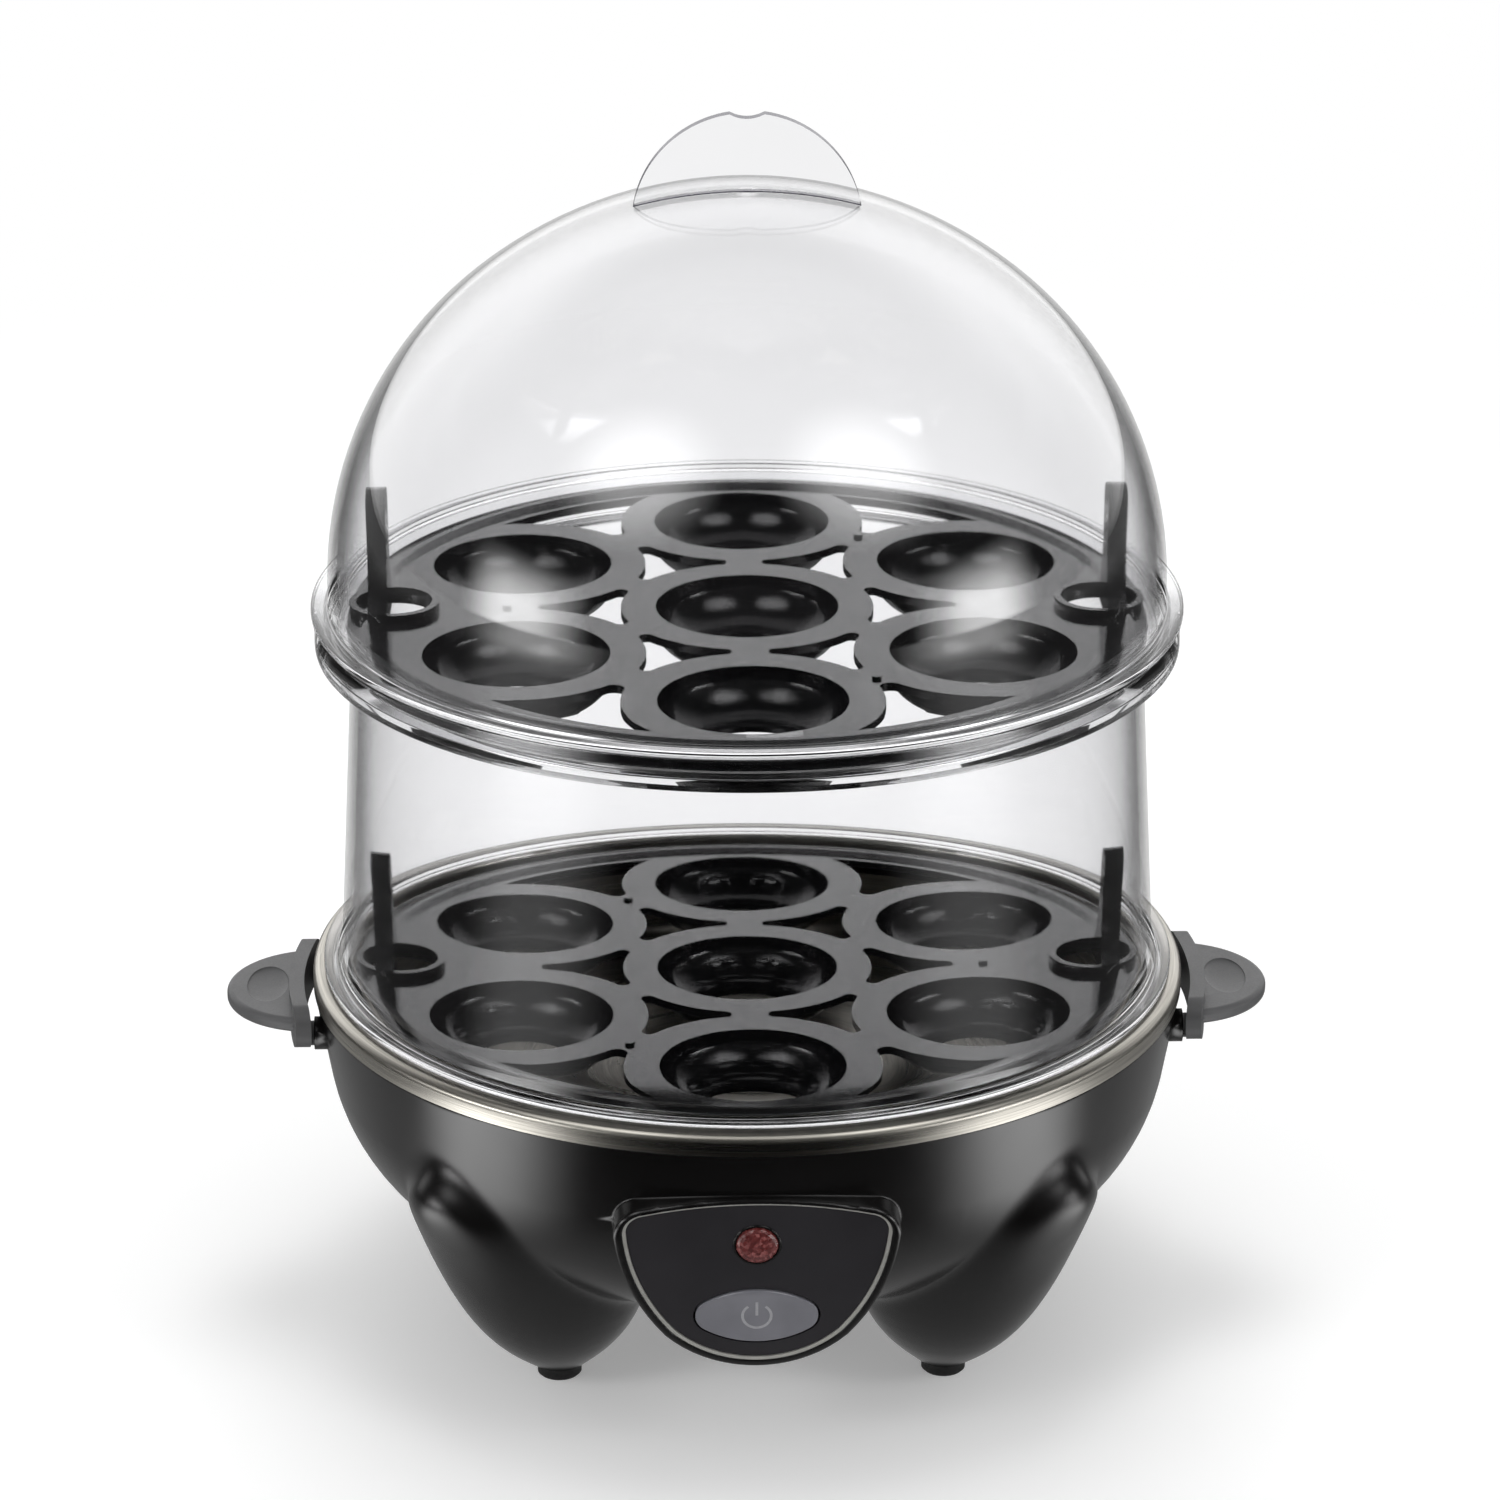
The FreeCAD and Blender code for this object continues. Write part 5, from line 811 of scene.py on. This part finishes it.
# Clear SAN: it bends light like glass and its edges stay pale, as they scatter a little light. Light for
# shadows passes straight through, as the wall is thin and even.
san, tree, where, shader = new_finish("clear_san_moulded", IOR=1.49, Metallic=0.0, Transmission_Weight=1.0)
swirl = add(tree, "ShaderNodeTexNoise", {"Vector": where, "Scale": per_mm(40.0), "Detail": 2.0})
patterned(
    tree, shader,
    colour=(swirl.outputs["Fac"], (0.3, "#fafafb"), (0.7, "#fcfcfd")),
    rough=(swirl.outputs["Fac"], 0.02, 0.04),
)
rays = add(tree, "ShaderNodeLightPath")
either = add(tree, "ShaderNodeMath", {
    0: rays.outputs["Is Shadow Ray"], 1: rays.outputs["Is Diffuse Ray"],
}, operation="MAXIMUM")
slope = add(tree, "ShaderNodeLayerWeight", {"Blend": 0.5})
edge_on = add(tree, "ShaderNodeMapRange", {
    "Value": slope.outputs["Facing"], "From Min": 0.66, "From Max": 0.95, "To Min": 0.0, "To Max": 0.82,
}, interpolation_type="SMOOTHSTEP")
passed = add(tree, "ShaderNodeMath", {
    0: either.outputs[0], 1: edge_on.outputs["Result"],
}, operation="MAXIMUM")
through = add(tree, "ShaderNodeBsdfTransparent", {"Color": linear("#f4f4f4")})
mixed = add(tree, "ShaderNodeMixShader", {0: passed.outputs[0], 1: shader.outputs[0], 2: through.outputs[0]})
tree.links.new(mixed.outputs[0], tree.nodes["Material Output"].inputs["Surface"])

# The sections of the ring and the dome, and the sizes of the fin, are in millimetres.
CORNER_ROUND = 0.45
TIER_PROFILE = (
    (85, 75.5), (87, 75.5), (87, 79.5), (90, 79.5), (90, 81), (87, 81), (85.9, 86), (82.5, 149.6),
    (84, 151.1), (90, 151.1), (90, 157.9), (87.4, 157.9), (87.4, 152.9), (79.8, 152.9),
    (79.8, 151.1), (80.5, 149.6), (83.9, 86), (85, 81),
)
tier = turned(rounded(TIER_PROFILE, CORNER_ROUND))
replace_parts(make_piece("turned_tier", tier, "tier", san, 35.0), "steam_tier")

DOME_FOOT = ((85, 154.2), (87, 154.2), (87, 158.2), (90.6, 158.2), (90.6, 159.7), (87, 159.7), (87, 164.0))
DOME_CROWN = 155.658
DOME_RADIUS = 90.89
DOME_WALL = 2
SHOULDER = (7, 164)
SHOULDER_RADIUS = 80
ON_AXIS = 1e-5
dome_outside = arc(SHOULDER, SHOULDER_RADIUS, 3, 50, 20) + arc((0, DOME_CROWN), DOME_RADIUS, 51.4, 90, 20)
dome_inside = (
    arc((0, DOME_CROWN), DOME_RADIUS - DOME_WALL, 90, 51.4, 20)
    + arc(SHOULDER, SHOULDER_RADIUS - DOME_WALL, 50, 3, 20) + [(85, 164.0)]
)
dome_line = rounded(DOME_FOOT + tuple(dome_outside) + tuple(dome_inside), CORNER_ROUND)
for point in dome_line:
    if abs(point.x) < ON_AXIS:
        point.x = 0.0
dome = turned(dome_line)

# The fin: a disc with a notch in its top, cut straight at both sides below and standing on the dome.
FIN_RADIUS = 23.4
FIN_MIDDLE = 239.45
FIN_THICKNESS = 2.5
FIN_FOOT = 90.91
FIN_HALF_FOOT = 23.05
FIN_STRAIGHT_BELOW = 243.6
NOTCH_HALF = 3.5
NOTCH_RADIUS = 7.0
NOTCH_MIDDLE = 268.649
fin = bmesh.new()
bmesh.ops.create_circle(fin, cap_ends=True, segments=288, radius=FIN_RADIUS)
for vert in fin.verts:
    across = vert.co.x
    height = FIN_MIDDLE + vert.co.y
    if abs(across) < NOTCH_HALF and height > FIN_MIDDLE:
        height = NOTCH_MIDDLE - math.sqrt(NOTCH_RADIUS ** 2 - across ** 2)
    across = max(-FIN_HALF_FOOT, min(FIN_HALF_FOOT, across)) if height < FIN_STRAIGHT_BELOW else across
    foot = DOME_CROWN + math.sqrt(FIN_FOOT ** 2 - across ** 2)
    vert.co = Vector((across, -FIN_THICKNESS / 2, max(height, foot))) / 1000
bmesh.ops.remove_doubles(fin, verts=fin.verts, dist=WELD)
sheet = bmesh.ops.extrude_face_region(fin, geom=fin.faces[:])
bmesh.ops.translate(
    fin, vec=(0, FIN_THICKNESS / 1000, 0),
    verts=[v for v in sheet["geom"] if isinstance(v, bmesh.types.BMVert)],
)
bmesh.ops.recalc_face_normals(fin, faces=fin.faces)
# The fin's side faces take the painted edge shade.
for face in fin.faces:
    if abs(face.normal.y) < 0.5:
        face.material_index = 1

# The same plastic looked at along the wall: a dark violet grey, the faint tint of the plastic darkened with
# painted shade.
san_edge_painted_shade, tree, where, shader = new_finish(
    "san_painted_edge_shade", IOR=1.57, Metallic=0.0, Transmission_Weight=0.3,
)
depth = add(tree, "ShaderNodeTexNoise", {"Vector": where, "Scale": per_mm(6.0), "Detail": 2.0})
patterned(
    tree, shader,
    colour=(depth.outputs["Fac"], (0.3, "#454253"), (0.7, "#54515f")),
    rough=(depth.outputs["Fac"], 0.22, 0.34),
)
fin_piece = make_piece("lid_fin", fin, "lid", san, 30.0)
fin_piece.data.materials.append(san_edge_painted_shade)
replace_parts(make_piece("turned_dome", dome, "lid", san, 35.0), "dome_lid")

# The root of the fin, where it runs into the dome: a dark strip of painted shade as long as the fin and as
# thick.
ROOT_HALF = 0.0231
ROOT_RADIUS = 0.09103
ROOT_THICKNESS = 0.0004
root = bmesh.new()
bmesh.ops.create_grid(root, x_segments=40, y_segments=1, size=1.0)
bmesh.ops.scale(root, vec=(ROOT_HALF, FIN_THICKNESS / 2000, 1.0), verts=root.verts)
for vert in root.verts:
    vert.co.z = DOME_CROWN / 1000 + math.sqrt(ROOT_RADIUS ** 2 - vert.co.x ** 2)
bmesh.ops.solidify(root, geom=root.faces[:], thickness=ROOT_THICKNESS)
make_piece("fin_root_painted_shade", root, "lid", san_edge_painted_shade)
